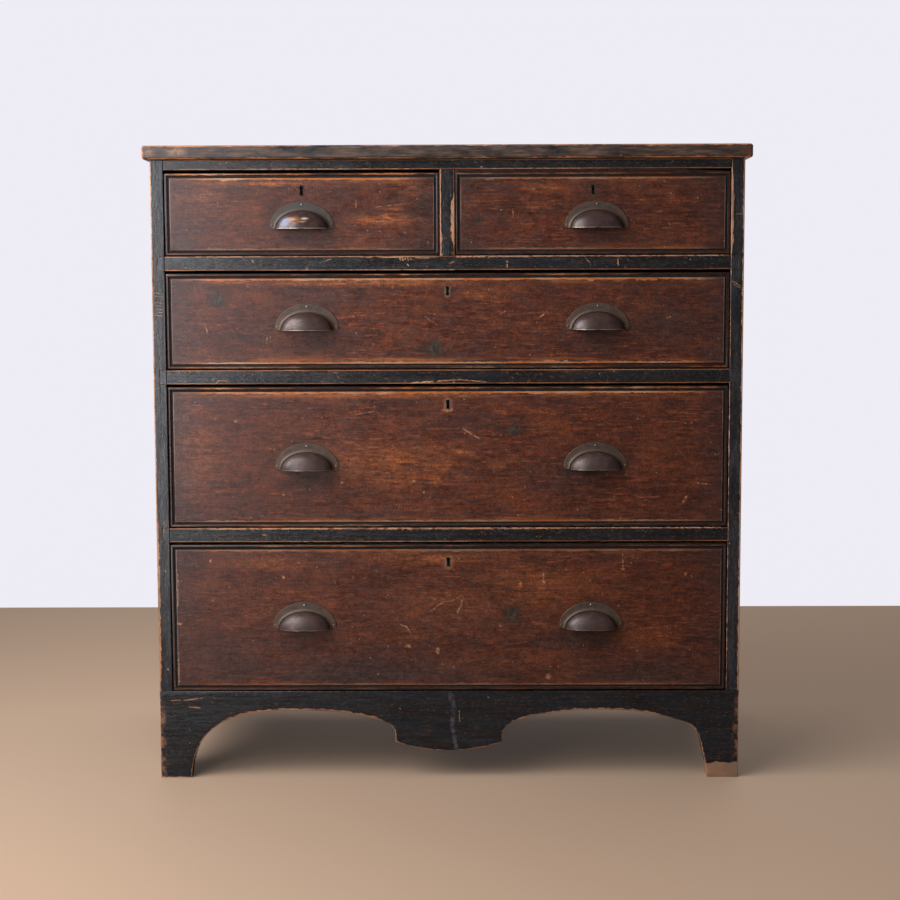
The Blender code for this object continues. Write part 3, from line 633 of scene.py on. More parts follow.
    # Arris of the panel, rubbed to the wood above and below
    arris = up_down - (BEAD + QUIRK)
    wear = use(EDGE_WEAR, place=place, edge=arris, width=0.0034, cover=0.74, chips=0.003, seed=seed + 1.0)
    from_ends = ramp(ends, 0.01, 0.08, 0.1, 0.9)
    lower_half = split(place)[2] < (low.z + high.z) / 2
    from_ends = from_ends * mixed_value(lower_half, *edges)
    bleached = ramp(noise(place, (11.0, 24.0, 24.0), 3.0, 0.6), 0.42, 0.6, 0.0, 0.85)
    rubbed_tint = mixed(bleached, STAIN_RUBBED, STAIN_RUBBED_PALE)
    rubbed_edge = wear["worn"] * from_ends * ramp(fibre, 0.0, 1.0, 1.0, 0.75)
    band = ramp(noise(place, (12.0, 12.0, 110.0), 4.0, 0.7), 0.44, 0.64, 0.0, 0.6)
    band = band * from_ends * ramp(arris, 0.002, 0.013, 1.0, 0.0)
    colour = mixed(band, colour, STAIN_RUBBED)
    colour = mixed(rubbed_edge, colour, rubbed_tint)
    # A painted highlight along the panel's arris near each end
    painted_arris_highlight = ramp(abs(ends - (BEAD + QUIRK + 0.0008)), 0.0004, 0.0011, 0.42, 0.0)
    patchy = ramp(noise(place, 40.0, 3.0), 0.35, 0.6, 0.3, 1.0)
    colour = mixed(painted_arris_highlight * patchy, colour, ARRIS_HIGHLIGHT)

    # Quirk, painted dark as shade in its groove, and bead
    outline = least(ends, up_down)
    in_quirk = abs(outline - (BEAD + QUIRK / 2))
    ragged_line = noise(place, 120.0, 3.0) * 0.001 + in_quirk
    # Painted shade: the quirk is made near-black
    quirk_shade = ramp(ragged_line, QUIRK / 2 + 0.0001, QUIRK / 2 + 0.0009, 1.0, 0.0)
    colour = mixed(quirk_shade, colour, DARK_CRACKS_AND_SHADE)
    on_bead = ramp(outline, BEAD - 0.0004, BEAD + 0.0002, 1.0, 0.0)
    bead = mixed(ramp(grain["fibres"], 0.4, 0.7), BEAD_DARK, DARK_CRACKS_AND_SHADE)
    crest = abs(outline - BEAD * 0.45)
    wear = use(EDGE_WEAR, place=place, edge=crest, width=0.0015, cover=0.5, chips=0.0006, seed=seed + 2.0)
    level = (up_down < ends) * mixed_value(lower_half, *beads)
    bead_worn = wear["worn"] * (level * 0.85 + 0.05)
    gaps = ramp(noise(place, (48.0, 170.0, 170.0), 4.0, 0.7), 0.4, 0.58, 0.3, 1.0)
    bead = mixed(bead_worn * gaps, bead, rubbed_tint)
    colour = mixed(on_bead, colour, bead)

    # The stain stops a little way behind the face, where the board is bare
    behind = ramp(split(place)[1], DRAWER_FACE + 0.0035, DRAWER_FACE + 0.006)
    bare = mixed(ramp(grain["streaks"], 0.4, 0.7), PINE_PALE, PINE_DARK)
    colour = mixed(behind, colour, mixed(0.3, bare, PINE_DUST))
    join(colour, surface.inputs["Base Color"])

    gloss = ramp(noise(place, (60.0, 60.0, 120.0), 4.0, 0.7), 0.34, 0.66, 0.27, 0.43)
    gloss = mixed_value(on_bead, gloss, 0.28)
    gloss = mixed_value(quirk_shade, gloss, 0.8)
    join(mixed_value(behind, gloss, 0.8), surface.inputs["Roughness"])
    height = grain["fibres"] * 0.4 + grain["rings"] * 0.15 - (dings + pits) * 0.7
    height += noise(place, (9.0, 9.0, 22.0), 2.0)
    raise_surface(surface, height, 0.0004)
    return finish


def old_bronze(name, shine_roughness, rim_wear_and_highlight, flange_tints, painted_glints=()):
    """Bronze with a dull brown patina, rubbed on the raised edge, with a rubbed rim that is partly a painted
    highlight, a painted shade in the groove at the cup's foot, and painted highlights and reflections where
    they are listed.
    """
    finish, surface, place = new_finish(name)
    marks = {label: carried(surface, label) for label in PULL_MARKS}
    cloud = noise(place, 90.0, 4.0, 0.65)
    speck = noise(place, 420.0, 3.0, 0.6)
    flange = mixed(ramp(cloud, 0.35, 0.65), *flange_tints)
    dome = mixed(ramp(cloud, 0.35, 0.65), picked(90, 66, 60), picked(68, 50, 47))
    colour = mixed(marks["dome"], flange, dome)
    olive = marks["olive"] * ramp(cloud, 0.35, 0.65, 0.1, 0.5)
    colour = mixed(olive, colour, picked(116, 90, 58))
    colour = mixed(ramp(speck, 0.55, 0.75, 0.0, 0.45), colour, picked(52, 42, 40))
    # Painted shade in the groove between the raised edge and the cup
    colour = mixed(marks["groove"] * 0.8, colour, picked(30, 24, 24))
    bright = marks["rubbed"] * ramp(cloud, 0.35, 0.6, 0.35, 0.9)
    colour = mixed(bright, colour, picked(160, 124, 84))
    # A pale rim along the cup's lower edge: rubbed metal, with a painted highlight
    rim = ramp(marks["above_rim"], 0.4, 1.3, 1.0, 0.0)
    rim = rim * ramp(speck, 0.3, 0.6, 0.6, 1.0)
    colour = mixed(rim, colour, rim_wear_and_highlight)
    bright = most(bright, rim)
    # Painted highlights and reflections, partly worn bright metal, where they are listed
    for x, z, wide, tall, tint in painted_glints:
        ragged = roughened(place, 0.003)
        spot = spot_at(ragged, x, z, wide, tall, 0.8)
        colour = mixed(spot * 0.85, colour, tint)
    join(colour, surface.inputs["Base Color"])
    metallic = mixed_value(marks["dome"], 0.3, 0.2)
    join(mixed_value(bright, metallic, 0.6), surface.inputs["Metallic"])
    rough = ramp(cloud, 0.3, 0.7, shine_roughness, shine_roughness + 0.1)
    rough = mixed_value(marks["dome"], 0.56, rough)
    join(mixed_value(bright, rough, 0.3), surface.inputs["Roughness"])
    surface.inputs["Specular IOR Level"].default_value = 0.65
    raise_surface(surface, cloud * 1.2 + speck, 0.00006)
    return finish


def plain_metal(name, colour, dull, roughness, metallic=0.9):
    """A lock's metal, with dull patches."""
    finish, surface, place = new_finish(name)
    cloud = noise(place, 90.0, 4.0, 0.6)
    brushed = noise(place, (60.0, 900.0, 900.0), 2.0)
    shade = mixed(ramp(cloud, 0.4, 0.65), colour, dull)
    join(shade, surface.inputs["Base Color"])
    surface.inputs["Metallic"].default_value = metallic
    join(ramp(cloud, 0.3, 0.7, roughness, roughness + 0.2), surface.inputs["Roughness"])
    raise_surface(surface, brushed, 0.0001)
    return finish


# Making pieces

def work_on(piece):
    """Makes a piece the only one selected, and the one that the next step works on."""
    bpy.ops.object.select_all(action="DESELECT")
    piece.select_set(True)
    bpy.context.view_layer.objects.active = piece


@contextmanager
def editing(piece):
    """Works on one piece in edit mode, and goes back to object mode after it."""
    work_on(piece)
    bpy.ops.object.mode_set(mode="EDIT")
    yield
    bpy.ops.object.mode_set(mode="OBJECT")


def shape(add, scale=(1.0, 1.0, 1.0), **settings):
    """A basic shape, with its place, turn and size kept in its mesh."""
    bpy.ops.object.select_all(action="DESELECT")
    add(**settings)
    piece = bpy.context.active_object
    piece.scale = scale
    bpy.ops.object.transform_apply(location=True, rotation=True, scale=True)
    return piece


def change(piece, kind, **settings):
    """Adds a modifier to a piece, and applies it."""
    work_on(piece)
    step = piece.modifiers.new(kind.lower(), kind)
    for label, setting in settings.items():
        setattr(step, label, setting)
    bpy.ops.object.modifier_apply(modifier=step.name)


def seat(piece, body, slot, finish, *stands_for):
    """Ties a finished piece to its body and its material, and hides the parts that it stands for; the slot is
    not used.
    """
    piece.data.materials.clear()
    piece.data.materials.append(finish)
    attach(piece, body)
    if stands_for:
        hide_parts(*stands_for)


def softened(node, name, width, steps, chosen):
    """A copy of a board, with the chosen edges rounded as wear leaves them."""
    piece = bpy.data.objects.new(name, nodes[node].data.copy())
    bpy.context.scene.collection.objects.link(piece)
    with editing(piece):
        bpy.ops.mesh.select_mode(type="EDGE")
        bpy.ops.mesh.select_all(action="SELECT")
        bpy.ops.mesh.remove_doubles(threshold=0.00001)
        bpy.ops.mesh.dissolve_limited(angle_limit=math.radians(0.5))
    bevel_edges(piece, width, steps, chosen)
    return piece


def ends_of(piece, edge):
    return [piece.data.vertices[index].co.copy() for index in edge.vertices]


def bevel_edges(piece, width, steps, chosen):
    """Bevels the edges that chosen(one end, other end) picks."""
    with editing(piece):
        bpy.ops.mesh.select_all(action="DESELECT")
    for edge in piece.data.edges:
        edge.select = bool(chosen(*ends_of(piece, edge)))
    with editing(piece):
        bpy.ops.mesh.bevel(offset=width, segments=steps, affect="EDGES", clamp_overlap=False)


def near(value, target, slack=0.00015):
    return abs(value - target) < slack


def smooth(piece, degrees=40):
    """Shades rounded edges smooth, and keeps the flat faces flat."""
    work_on(piece)
    bpy.ops.object.shade_smooth_by_angle(angle=math.radians(degrees))
    change(piece, "WEIGHTED_NORMAL", keep_sharp=True, weight=100)


# Boards of the case

def on_front(first, second):
    return near(first.y, FACE) and near(second.y, FACE)


def scratches(place, marks):
    """Scratches through the paint, each given by its two ends across and up, and its width."""
    ragged = roughened(place, 0.0018)
    worn = 0.0
    for x, z, to_x, to_z, width in marks:
        worn = most(worn, scratch_from(ragged, x, z, to_x, to_z, width))
    worn *= ramp(noise(place, (150.0, 150.0, 320.0), 3.0, 0.6), 0.36, 0.52)
    return {"worn": ramp(worn, 0.3, 0.6), "rim": ramp(worn, 0.0, 0.3)}


def upright_wear(place, chips, *edges):
    """Wear along a post's two upright front edges.

    Each edge is where it is across, its width, how much wider it gets, at which height, over half of what
    reach, and how much of the edge is worn, from 0 to 1.
    """
    x, y, z = split(place)
    found = []
    for across, narrow, more, middle, half, cover in edges:
        arris = vectors("LENGTH", joined(abs(x - across), abs(y - FACE), 0.0))
        width = bump(z, middle, half) * more + narrow
        wear = use(
            EDGE_WEAR, place=joined(z, y, x), edge=arris, width=width, cover=cover, chips=chips, seed=across
        )
        found.append(wear)
    first, second = found
    return most(first["worn"], second["worn"]), most(first["rim"], second["rim"])


# Scratches on the rails, each by its two ends across and up, and its width
RAIL_MARKS = {
    "top_rail": ((-0.43, 0.9333, -0.05, 0.9333, 0.0012), (0.05, 0.9333, 0.2, 0.9333, 0.0010)),
    "upper_rail": (
        (-0.1960, 0.7925, -0.1760, 0.7990, 0.0008), (-0.2945, 0.7975, -0.2935, 0.7950, 0.0012),
        (-0.0720, 0.8005, -0.0715, 0.7975, 0.0011), (-0.0680, 0.8005, -0.0670, 0.7962, 0.0013),
        (-0.0640, 0.8005, -0.0635, 0.7985, 0.0012), (-0.0600, 0.8005, -0.0590, 0.7968, 0.0012),
        (-0.0560, 0.8000, -0.0545, 0.7978, 0.0010), (-0.0630, 0.7925, -0.0585, 0.7890, 0.0012),
        (-0.0470, 0.8010, -0.0270, 0.8000, 0.0016), (-0.3800, 0.8031, -0.1300, 0.8031, 0.0011),
        (-0.1300, 0.8026, -0.0700, 0.8022, 0.0026), (-0.0700, 0.8028, -0.0160, 0.8026, 0.0021),
        (0.0130, 0.8028, 0.1250, 0.8026, 0.0025), (0.1250, 0.8028, 0.4150, 0.8030, 0.0016),
        (-0.2600, 0.7826, 0.0100, 0.7826, 0.0012), (0.0020, 0.7915, 0.0100, 0.7950, 0.0008),
        (-0.3960, 0.7866, -0.3940, 0.7866, 0.0010), (0.2090, 0.7985, 0.2140, 0.7930, 0.0011),
        (0.2140, 0.7930, 0.2170, 0.7860, 0.0011), (0.2570, 0.7980, 0.2570, 0.7890, 0.0010),
        (0.0900, 0.7954, 0.0900, 0.7864, 0.0010),
    ),
    "middle_rail": (
        (-0.3517, 0.6127, -0.3471, 0.6165, 0.0010), (-0.3471, 0.6165, -0.3380, 0.6157, 0.0009),
        (-0.3380, 0.6157, -0.3350, 0.6127, 0.0009), (-0.1925, 0.6145, -0.1890, 0.6110, 0.0014),
        (-0.1813, 0.6289, -0.1640, 0.6270, 0.0010), (-0.1690, 0.6230, -0.1650, 0.6205, 0.0007),
        (-0.2660, 0.6313, -0.2240, 0.6313, 0.0010), (-0.0560, 0.6118, -0.0266, 0.6137, 0.0019),
        (-0.0266, 0.6137, 0.0180, 0.6168, 0.0016), (0.0180, 0.6168, 0.0600, 0.6128, 0.0011),
        (0.0975, 0.6205, 0.0985, 0.6195, 0.0010),
    ),
    "lower_rail": (
        (-0.3850, 0.3892, -0.1200, 0.3890, 0.0018), (-0.1200, 0.3890, 0.1700, 0.3892, 0.0022),
        (0.1700, 0.3893, 0.4150, 0.3894, 0.0012), (-0.2500, 0.3692, 0.0300, 0.3692, 0.0010),
        (-0.2850, 0.3797, -0.2790, 0.3797, 0.0011),
    ),
}


def make_rails():
    for index, node in enumerate(RAILS):
        low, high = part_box(node)
        far = Vector((1, 0, 0))

        def long_edge(first, second):
            return on_front(first, second) and abs(first.x - second.x) > 0.1

        def wear(place, edge):
            return scratches(place, RAIL_MARKS[node])

        piece = softened(node, node + "_board", CASE_ROUNDING, 2, long_edge)
        smooth(piece)
        endless = (low - far, high + far)
        finish = painted_pine(node + "_paint", "x", 1.7 * index + 0.4, endless, cover=0.36, extra=wear)
        seat(piece, "carcass", "black_paint", finish, node)


def divider_wear(place, edge):
    """A thin line along the left edge, wider at its foot, and a deep ragged strip along the right edge."""
    low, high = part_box("divider")
    left, right = (0.0017, 0.0016, 0.815, 0.03, 0.9), (0.0006, 0.0058, 0.857, 0.048, 0.9)
    worn, rim = upright_wear(place, 0.0004, (low.x, *left), (high.x, *right))
    return {"worn": worn, "rim": rim}


def make_divider():
    low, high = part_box("divider")
    far = Vector((0, 0, 1))

    def long_edge(first, second):
        return on_front(first, second) and abs(first.z - second.z) > 0.05

    piece = softened("divider", "divider_post", CASE_ROUNDING, 2, long_edge)
    smooth(piece)
    endless = (low - far, high + far)
    finish = painted_pine(
        "divider_paint", "z", 9.3, endless, width=0.0, chips=0.0, pale=0.42, extra=divider_wear
    )
    seat(piece, "carcass", "black_paint", finish, "divider")


def mark_edge_distance(piece, lines):
    """Stores how far each corner of the mesh is from the given lines, for the wear along them."""
    mesh = piece.data
    attribute = mesh.attributes.new("edge_distance", "FLOAT", "POINT")
    for vertex in mesh.vertices:
        best = 1.0
        for start, end in lines:
            run = end - start
            share = max(0.0, min(1.0, (vertex.co - start).dot(run) / run.length_squared))
            best = min(best, (vertex.co - start - share * run).length)
        attribute.data[vertex.index].value = best


def ring_faces(piece, width, chosen):
    """Insets the chosen flat faces, so that the wear along their edges has corners to hang on."""
    with editing(piece):
        bpy.ops.mesh.select_mode(type="FACE")
        bpy.ops.mesh.select_all(action="DESELECT")
    for face in piece.data.polygons:
        face.select = bool(chosen(face))
    with editing(piece):
        bpy.ops.mesh.inset(thickness=width, use_even_offset=True)
        bpy.ops.mesh.select_mode(type="EDGE")


def outline_of(piece, chosen):
    """The edges that chosen(one end, other end) picks, as pairs of places."""
    lines = [ends_of(piece, edge) for edge in piece.data.edges]
    return [line for line in lines if chosen(*line)]


def bump(value, middle, half):
    """Rises smoothly to 1 at the middle and falls to 0 beyond it on both sides."""
    return ramp(abs(value - middle), half * 0.4, half, 1.0, 0.0)


# Where the right arch turns down to its foot, across and up, and how far the corner is opened there
ARCH_CORNER = (0.3645, 0.069)
ARCH_REACH = 0.045
ARCH_PUSH = (0.009, 0.0050)

# The way that the pale drip runs down the apron
DRIP = ((0.0015, 0.132), (0.0075, 0.1136), (0.0052, 0.0806), (0.0108, 0.0476))


def apron_wear(place, edge):
    """Bare wood at the soles, a worn line along the arches, scuffed feet and a pale drip at the middle."""
    x, _, z = split(place)
    across = abs(x)
    ragged = noise(place, (110.0, 110.0, 160.0), 3.0, 0.6) * 0.009 + z
    line = mixed_value(x > 0.0, 0.0060, 0.0275)
    sole = line - ragged
    worn = ramp(sole, -0.0002, 0.0006) * 0.8
    rim = ramp(sole, -0.0016, 0.0)
    width = bump(across, 0.23, 0.17) * 0.0018 + 0.0022
    arch = use(EDGE_WEAR, place=place, edge=edge, width=width, cover=0.85, chips=0.0008, seed=2.2)
    marks = scratches(place, (
        (-0.4320, 0.1215, -0.4050, 0.1225, 0.0008),
        (-0.4050, 0.1225, -0.3800, 0.1262, 0.0012),
        (-0.4010, 0.1117, -0.3850, 0.1101, 0.0013),
        (0.0159, 0.1047, 0.0165, 0.0874, 0.0008),
    ))
    at_foot = ramp(across, 0.434, 0.446)
    low_down = ramp(z, 0.09, 0.14, 1.0, 0.0)
    scuffs = ramp(noise(place, (95.0, 95.0, 60.0), 4.0, 0.75), 0.44, 0.6) * at_foot * low_down
    for more in (arch["worn"] * 0.8, marks["worn"], scuffs * 0.55):
        worn = most(worn, more)
    for more in (arch["rim"], marks["rim"], scuffs):
        rim = most(rim, more)
    drip = 0.0
    bent = roughened(place, 0.007)
    for start, end in zip(DRIP, DRIP[1:]):
        drip = most(drip, scratch_from(bent, *start, *end, 0.0048))
    drip *= ramp(noise(place, 110.0, 4.0, 0.7), 0.38, 0.6, 0.1, 0.85)
    sole = ramp(sole, -0.0002, 0.0006, 0.0, 0.45)
    return {"worn": worn, "rim": rim, "faded_and_sheen": drip, "bleached": sole}


def square_the_arch(piece):
    """The right arch meets its foot in a squarer corner than the left one does."""
    for vertex in piece.data.vertices:
        away = math.hypot(vertex.co.x - ARCH_CORNER[0], vertex.co.z - ARCH_CORNER[1]) / ARCH_REACH
        if away < 1.0:
            share = (1.0 - away) ** 2 * (1.0 + 2.0 * away)
            vertex.co.x += ARCH_PUSH[0] * share
            vertex.co.z += ARCH_PUSH[1] * share


def make_apron():
    piece = softened("apron", "apron_board", APRON_ROUNDING, 2, on_front)
    square_the_arch(piece)

    def below_the_top(first, second):
        arris = FACE + APRON_ROUNDING
        flat = near(first.y, arris, 0.0004) and near(second.y, arris, 0.0004)
        return flat and min(first.z, second.z) < 0.13

    lines = outline_of(piece, below_the_top)
    ring_faces(piece, 0.006, lambda face: face.normal.y < -0.9 and face.area > 0.01)
    mark_edge_distance(piece, lines)
    smooth(piece)
    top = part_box("apron")[1].z
    finish = painted_pine("apron_paint", "x", 4.1, None, width=0.0012, specks=0.45, top=top, extra=apron_wear)
    seat(piece, "carcass", "black_paint", finish, "apron")


# What differs between the two side boards' front edges: the wear along the outer and the inner edge, as
# upright_wear takes it after the place across, how much of the pale dust and painted sheen lies on the upper
# half, and the scratches
STILES = {
    "left_side": {
        "outer": (0.0022, 0.0024, 0.270, 0.17, 0.9),
        "inner": (0.0008, 0.0, 0.865, 0.075, 0.35),
        "dust": 0.1,
        "scratches": (
            (-0.4335, 0.4030, -0.4385, 0.3692, 0.0016), (-0.4455, 0.3476, -0.4425, 0.3446, 0.0022),
            *((-0.4425, 0.749 - 0.0048 * step, -0.4315, 0.748 - 0.0048 * step, 0.0008) for step in range(8)),
        ),
    },
    "right_side": {
        "outer": (0.0030, 0.0004, 0.270, 0.17, 0.9),
        "inner": (0.0010, 0.0028, 0.865, 0.075, 0.72),
        "dust": 0.9,
        "scratches": (
            (0.4342, 0.8644, 0.4432, 0.8644, 0.0010), (0.4294, 0.7643, 0.4445, 0.7552, 0.0008),
            (0.4310, 0.7600, 0.4440, 0.7520, 0.0006),
        ),
    },
}
STILE_WIDTH = 0.020
RAIL_END = 0.0095


def stile_wear(outer, outer_wear, inner_wear, dust, marks, rails):
    """Wear along a side board's front edges, and the ends of the rails, which show in it."""
    inner = outer - math.copysign(STILE_WIDTH, outer)

    def wear(place, edge):
        x, y, z = split(place)
        worn, rim = upright_wear(place, 0.001, (outer, *outer_wear), (inner, *inner_wear))
        at_front = ramp(abs(y - FACE), 0.002, 0.004, 1.0, 0.0)

        # The rails are let through to within a thumbnail of the outer edge
        beyond_x = abs(x) - (abs(outer) - RAIL_END)
        faded_and_sheen, seam = 0.0, 0.0
        for low_z, high_z in rails:
            beyond_z = abs(z - (low_z + high_z) / 2) - (high_z - low_z) / 2
            outside = most(beyond_z, beyond_x)
            faded_and_sheen = most(faded_and_sheen, ramp(outside, -0.0012, -0.0004, 0.36, 0.0))
            seam = most(seam, ramp(abs(outside), 0.0002, 0.0007, 0.8, 0.0))
        # Pale patches, partly dust and partly a painted sheen, mostly low down on the left board
        dust_and_sheen = ramp(noise(place, (60.0, 60.0, 14.0), 4.0, 0.65), 0.4, 0.62, 0.06, 0.34)
        faded_and_sheen = most(faded_and_sheen, dust_and_sheen * ramp(z, 0.35, 0.75, 1.0, dust))
        seam *= ramp(noise(place, 110.0, 2.0), 0.4, 0.55)
        scratched = scratches(place, marks)
        return {
            "worn": most(worn, scratched["worn"] * at_front * 0.6),
            "rim": most(rim, scratched["rim"] * at_front),
            "faded_and_sheen": faded_and_sheen * at_front,
            "seam": seam * at_front,
        }

    return wear


def make_sides():
    rails = [(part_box(node)[0].z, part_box(node)[1].z) for node in RAILS[1:]]
    for node, outer in (("left_side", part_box("left_side")[0].x), ("right_side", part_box("right_side")[1].x)):

        def front_edge(first, second):
            return on_front(first, second) and near(first.x, second.x) and abs(first.z - second.z) > 0.05

        def outer_face(face):
            return face.area > 0.05 and face.normal.x * outer > 0.4

        def arch_edge(first, second):
            return near(first.x, outer) and near(second.x, outer) and max(first.z, second.z) < 0.12

        piece = softened(node, node + "_board", APRON_ROUNDING, 2, front_edge)
        arch = outline_of(piece, arch_edge)
        ring_faces(piece, 0.006, outer_face)
        mark_edge_distance(piece, arch)
        smooth(piece)
        seed = 6.0 + math.copysign(1.0, outer)
        own = STILES[node]
        wear = stile_wear(outer, own["outer"], own["inner"], own["dust"], own["scratches"], rails)
        finish = painted_pine(node + "_paint", "z", seed, None, width=0.003, cover=0.6, pale=0.5, extra=wear)
        seat(piece, "carcass", "black_paint", finish, node)


def top_tints(place, edge):
    """Paint rubbed to a tan near the left end, and reddish at the right end."""
    ragged = roughened(place, 0.006)
    low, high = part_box("top_board")
    middle_z = (low.z + high.z) / 2
    blotch = ramp(noise(place, (150.0, 150.0, 190.0), 3.0, 0.7), 0.38, 0.58, 0.25, 1.0)
    tints = []
    for x, wide, tall, tint in (
        (low.x + 0.052, 0.022, 0.014, TOP_TAN),
        (low.x + 0.010, 0.012, 0.009, TOP_TAN),
        (high.x, 0.020, 0.030, TOP_RED),
    ):
        spot = spot_at(ragged, x, middle_z, wide, tall, 0.8)
        tints.append((spot * blotch * 0.8, tint))
    return {"tints": tints}


def make_top():
    low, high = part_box("top_board")
    piece = shape(bpy.ops.mesh.primitive_cube_add, size=1, location=(low + high) / 2, scale=high - low)
    piece.name = "top_plank"
    change(piece, "BEVEL", width=TOP_ROUNDING, segments=5)
    smooth(piece)
    finish = painted_pine(
        "top_paint", "x", 2.9, (low, high), width=0.0030, cover=0.6, chips=0.0024, pale=0.1,
        worn_through=(0.9, TOP_WORN), extra=top_tints
    )
    seat(piece, "carcass", "black_paint", finish, "top_board")


def refinish(node, finish):
    """Gives one of the CAD nodes a finish of its own."""
    nodes[node].data.materials.clear()
    nodes[node].data.materials.append(finish)


def make_bare_boards():
    """Pine that was never painted: shelves, guide, back planks and the drawers' own boxes."""
    along_x = bare_pine("pine_shelves", "x", 0.7, heart=0.3)
    along_y = bare_pine("pine_drawer_sides", "y", 3.1, dust=0.1, heart=0.4)
    across = bare_pine("pine_drawer_backs", "x", 5.3, dust=0.1, heart=0.5)
    finishes = {}
    for node in ("bottom_board", "lower_dust_board", "middle_dust_board", "upper_dust_board"):
        finishes[node] = along_x
    finishes["centre_guide"] = along_y
    for number in (1, 2, 3):
        plank = f"back_plank_{number}"
        low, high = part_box(plank)
        heart = (low.x + high.x) / 2 + 0.12 - 0.08 * number
        seed = 8.2 + 3.1 * number
        finishes[plank] = bare_pine(f"pine_{plank}", "z", seed, dust=0.35, heart=heart, box=(low, high))
    for drawer in DRAWERS:
        finishes[drawer + "_left_side"] = along_y
        finishes[drawer + "_right_side"] = along_y
        finishes[drawer + "_back"] = across
        finishes[drawer + "_bottom"] = across
    for node, finish in finishes.items():
        refinish(node, finish)


# Cup pulls

# The plate's half width and height, those of the raised edge round the cup's foot, and then the rings that
# the pull is drawn in, each a half width, a height and how far it stands out. All are in millimetres.
PLATE = (49.0, 40.0)
CREST = (39.9, 26.7)
PULL_RINGS = (
    (49.0, 40.0, 0.3),
    (49.0, 40.0, 0.9),
    (48.6, 39.6, 1.3),
    (43.8, 31.4, 1.5),
    (42.2, 29.4, 1.9),
    (41.0, 27.9, 2.7),
    (40.3, 27.1, 3.4),
    (39.9, 26.7, 3.6),
    (39.5, 26.3, 3.3),
    (39.1, 25.9, 2.8),
)
CUP_FOOT = (38.6, 25.4, 2.8)
CUP_REACH = 23.0
CUP_FULLNESS = 0.84
CUP_STEPS = 16
RIM_DIP = 0.8
PULL_MARKS = ("above_rim", "rubbed", "olive", "dome", "groove")
END_ROUNDING = 4.0
WALL = 1.3
PIN_RADIUS = 1.6
TOP_PIN_HEIGHT = 35.5
SIDE_PIN_PLACE = (44.8, 4.8)
MILLI = 0.001


def make_pull():
    """A domed cup with a raised edge round its foot, on a half-round plate, drawn in rings, outside first."""
    pull = shape(bpy.ops.mesh.primitive_circle_add, vertices=112, radius=1.0, rotation=(math.pi / 2, 0, 0))
    rings = list(PULL_RINGS)
    for step in range(CUP_STEPS):
        turn = math.radians(89.0) * step / (CUP_STEPS - 1)
        out, narrow = math.sin(turn) ** CUP_FULLNESS, math.cos(turn) ** CUP_FULLNESS
        reach = CUP_FOOT[2] + (CUP_REACH - CUP_FOOT[2]) * out
        rings.append((CUP_FOOT[0] * narrow, CUP_FOOT[1] * narrow, reach))
    size = (1.0, 1.0)
    depth = 0.0
    with editing(pull):
        bpy.ops.mesh.select_all(action="SELECT")
        bpy.ops.mesh.bisect(plane_co=(0, 0, 0), plane_no=(0, 0, 1), clear_inner=True)
        bpy.ops.mesh.select_all(action="SELECT")
        for number, (half_width, height, reach) in enumerate(rings):
            if number:
                bpy.ops.mesh.extrude_edges_move()
            wide, tall, deep = half_width * MILLI, height * MILLI, reach * MILLI
            bpy.ops.transform.resize(value=(wide / size[0], 1.0, tall / size[1]), center_override=(0, 0, 0))
            bpy.ops.transform.translate(value=(0, depth - deep, 0))
            size = (wide, tall)
            depth = deep
        bpy.ops.mesh.merge(type="CENTER")
        bpy.ops.mesh.select_all(action="SELECT")
        bpy.ops.mesh.normals_make_consistent(inside=False)
    for vertex in pull.data.vertices:
        x, y, z = (value / MILLI for value in vertex.co)
        around = math.hypot(x / PLATE[0], z / PLATE[1])
        if around > 0.9:
            corner = max(0.0, 1.0 - z / END_ROUNDING)
            vertex.co.x *= 1.0 - 0.035 * corner * corner
        vertex.co.z -= rim_dip(-y, z) * MILLI
    return pull


def rim_dip(reach, height):
    """How far the cup's lower edge hangs below its ends, in millimetres."""
    forward = max(0.0, (reach - CUP_FOOT[2]) / (CUP_REACH - CUP_FOOT[2]))
    return RIM_DIP * forward * max(0.0, 1.0 - height / 10.0)


def copy_of(source, name, place):
    """A copy of a piece, with its own mesh, moved to its place."""
    piece = bpy.data.objects.new(name, source.data.copy())
    bpy.context.scene.collection.objects.link(piece)
    piece.data.transform(Matrix.Translation(place))
    return piece


def mark_pull(mesh):
    """Marks the height above the rim, the rubbed crest and plate edge, the flange, the cup, and the groove at
    its foot for a painted shade.
    """
    for label in PULL_MARKS:
        mesh.attributes.new(label, "FLOAT", "POINT")
    for vertex in mesh.vertices:
        x, y, z = (value / MILLI for value in vertex.co)
        reach = -y
        around = math.hypot(x / CREST[0], z / CREST[1])
        crest = 1.0 - abs(around - 1.0) / 0.014
        plate = 1.0 - abs(math.hypot(x / PLATE[0], z / PLATE[1]) - 1.0) / 0.012
        values = {
            "rubbed": max(0.3 * crest, 0.3 * plate),
            "olive": 1.0 - abs(around - 1.075) / 0.08,
            "dome": 1.0 if around < 0.985 else 0.0,
            "groove": 1.0 - abs(around - 0.965) / 0.03,
        }
        for label, value in values.items():
            mesh.attributes[label].data[vertex.index].value = max(0.0, min(1.0, value))
        above = z + rim_dip(reach, 0.0) if reach > 4.0 else 10.0
        mesh.attributes["above_rim"].data[vertex.index].value = above


def make_pin():
    pin = shape(
        bpy.ops.mesh.primitive_uv_sphere_add, segments=20, ring_count=10, radius=PIN_RADIUS * MILLI,
        scale=(1.0, 0.5, 1.0)
    )
    smooth(pin, 60)
    return pin


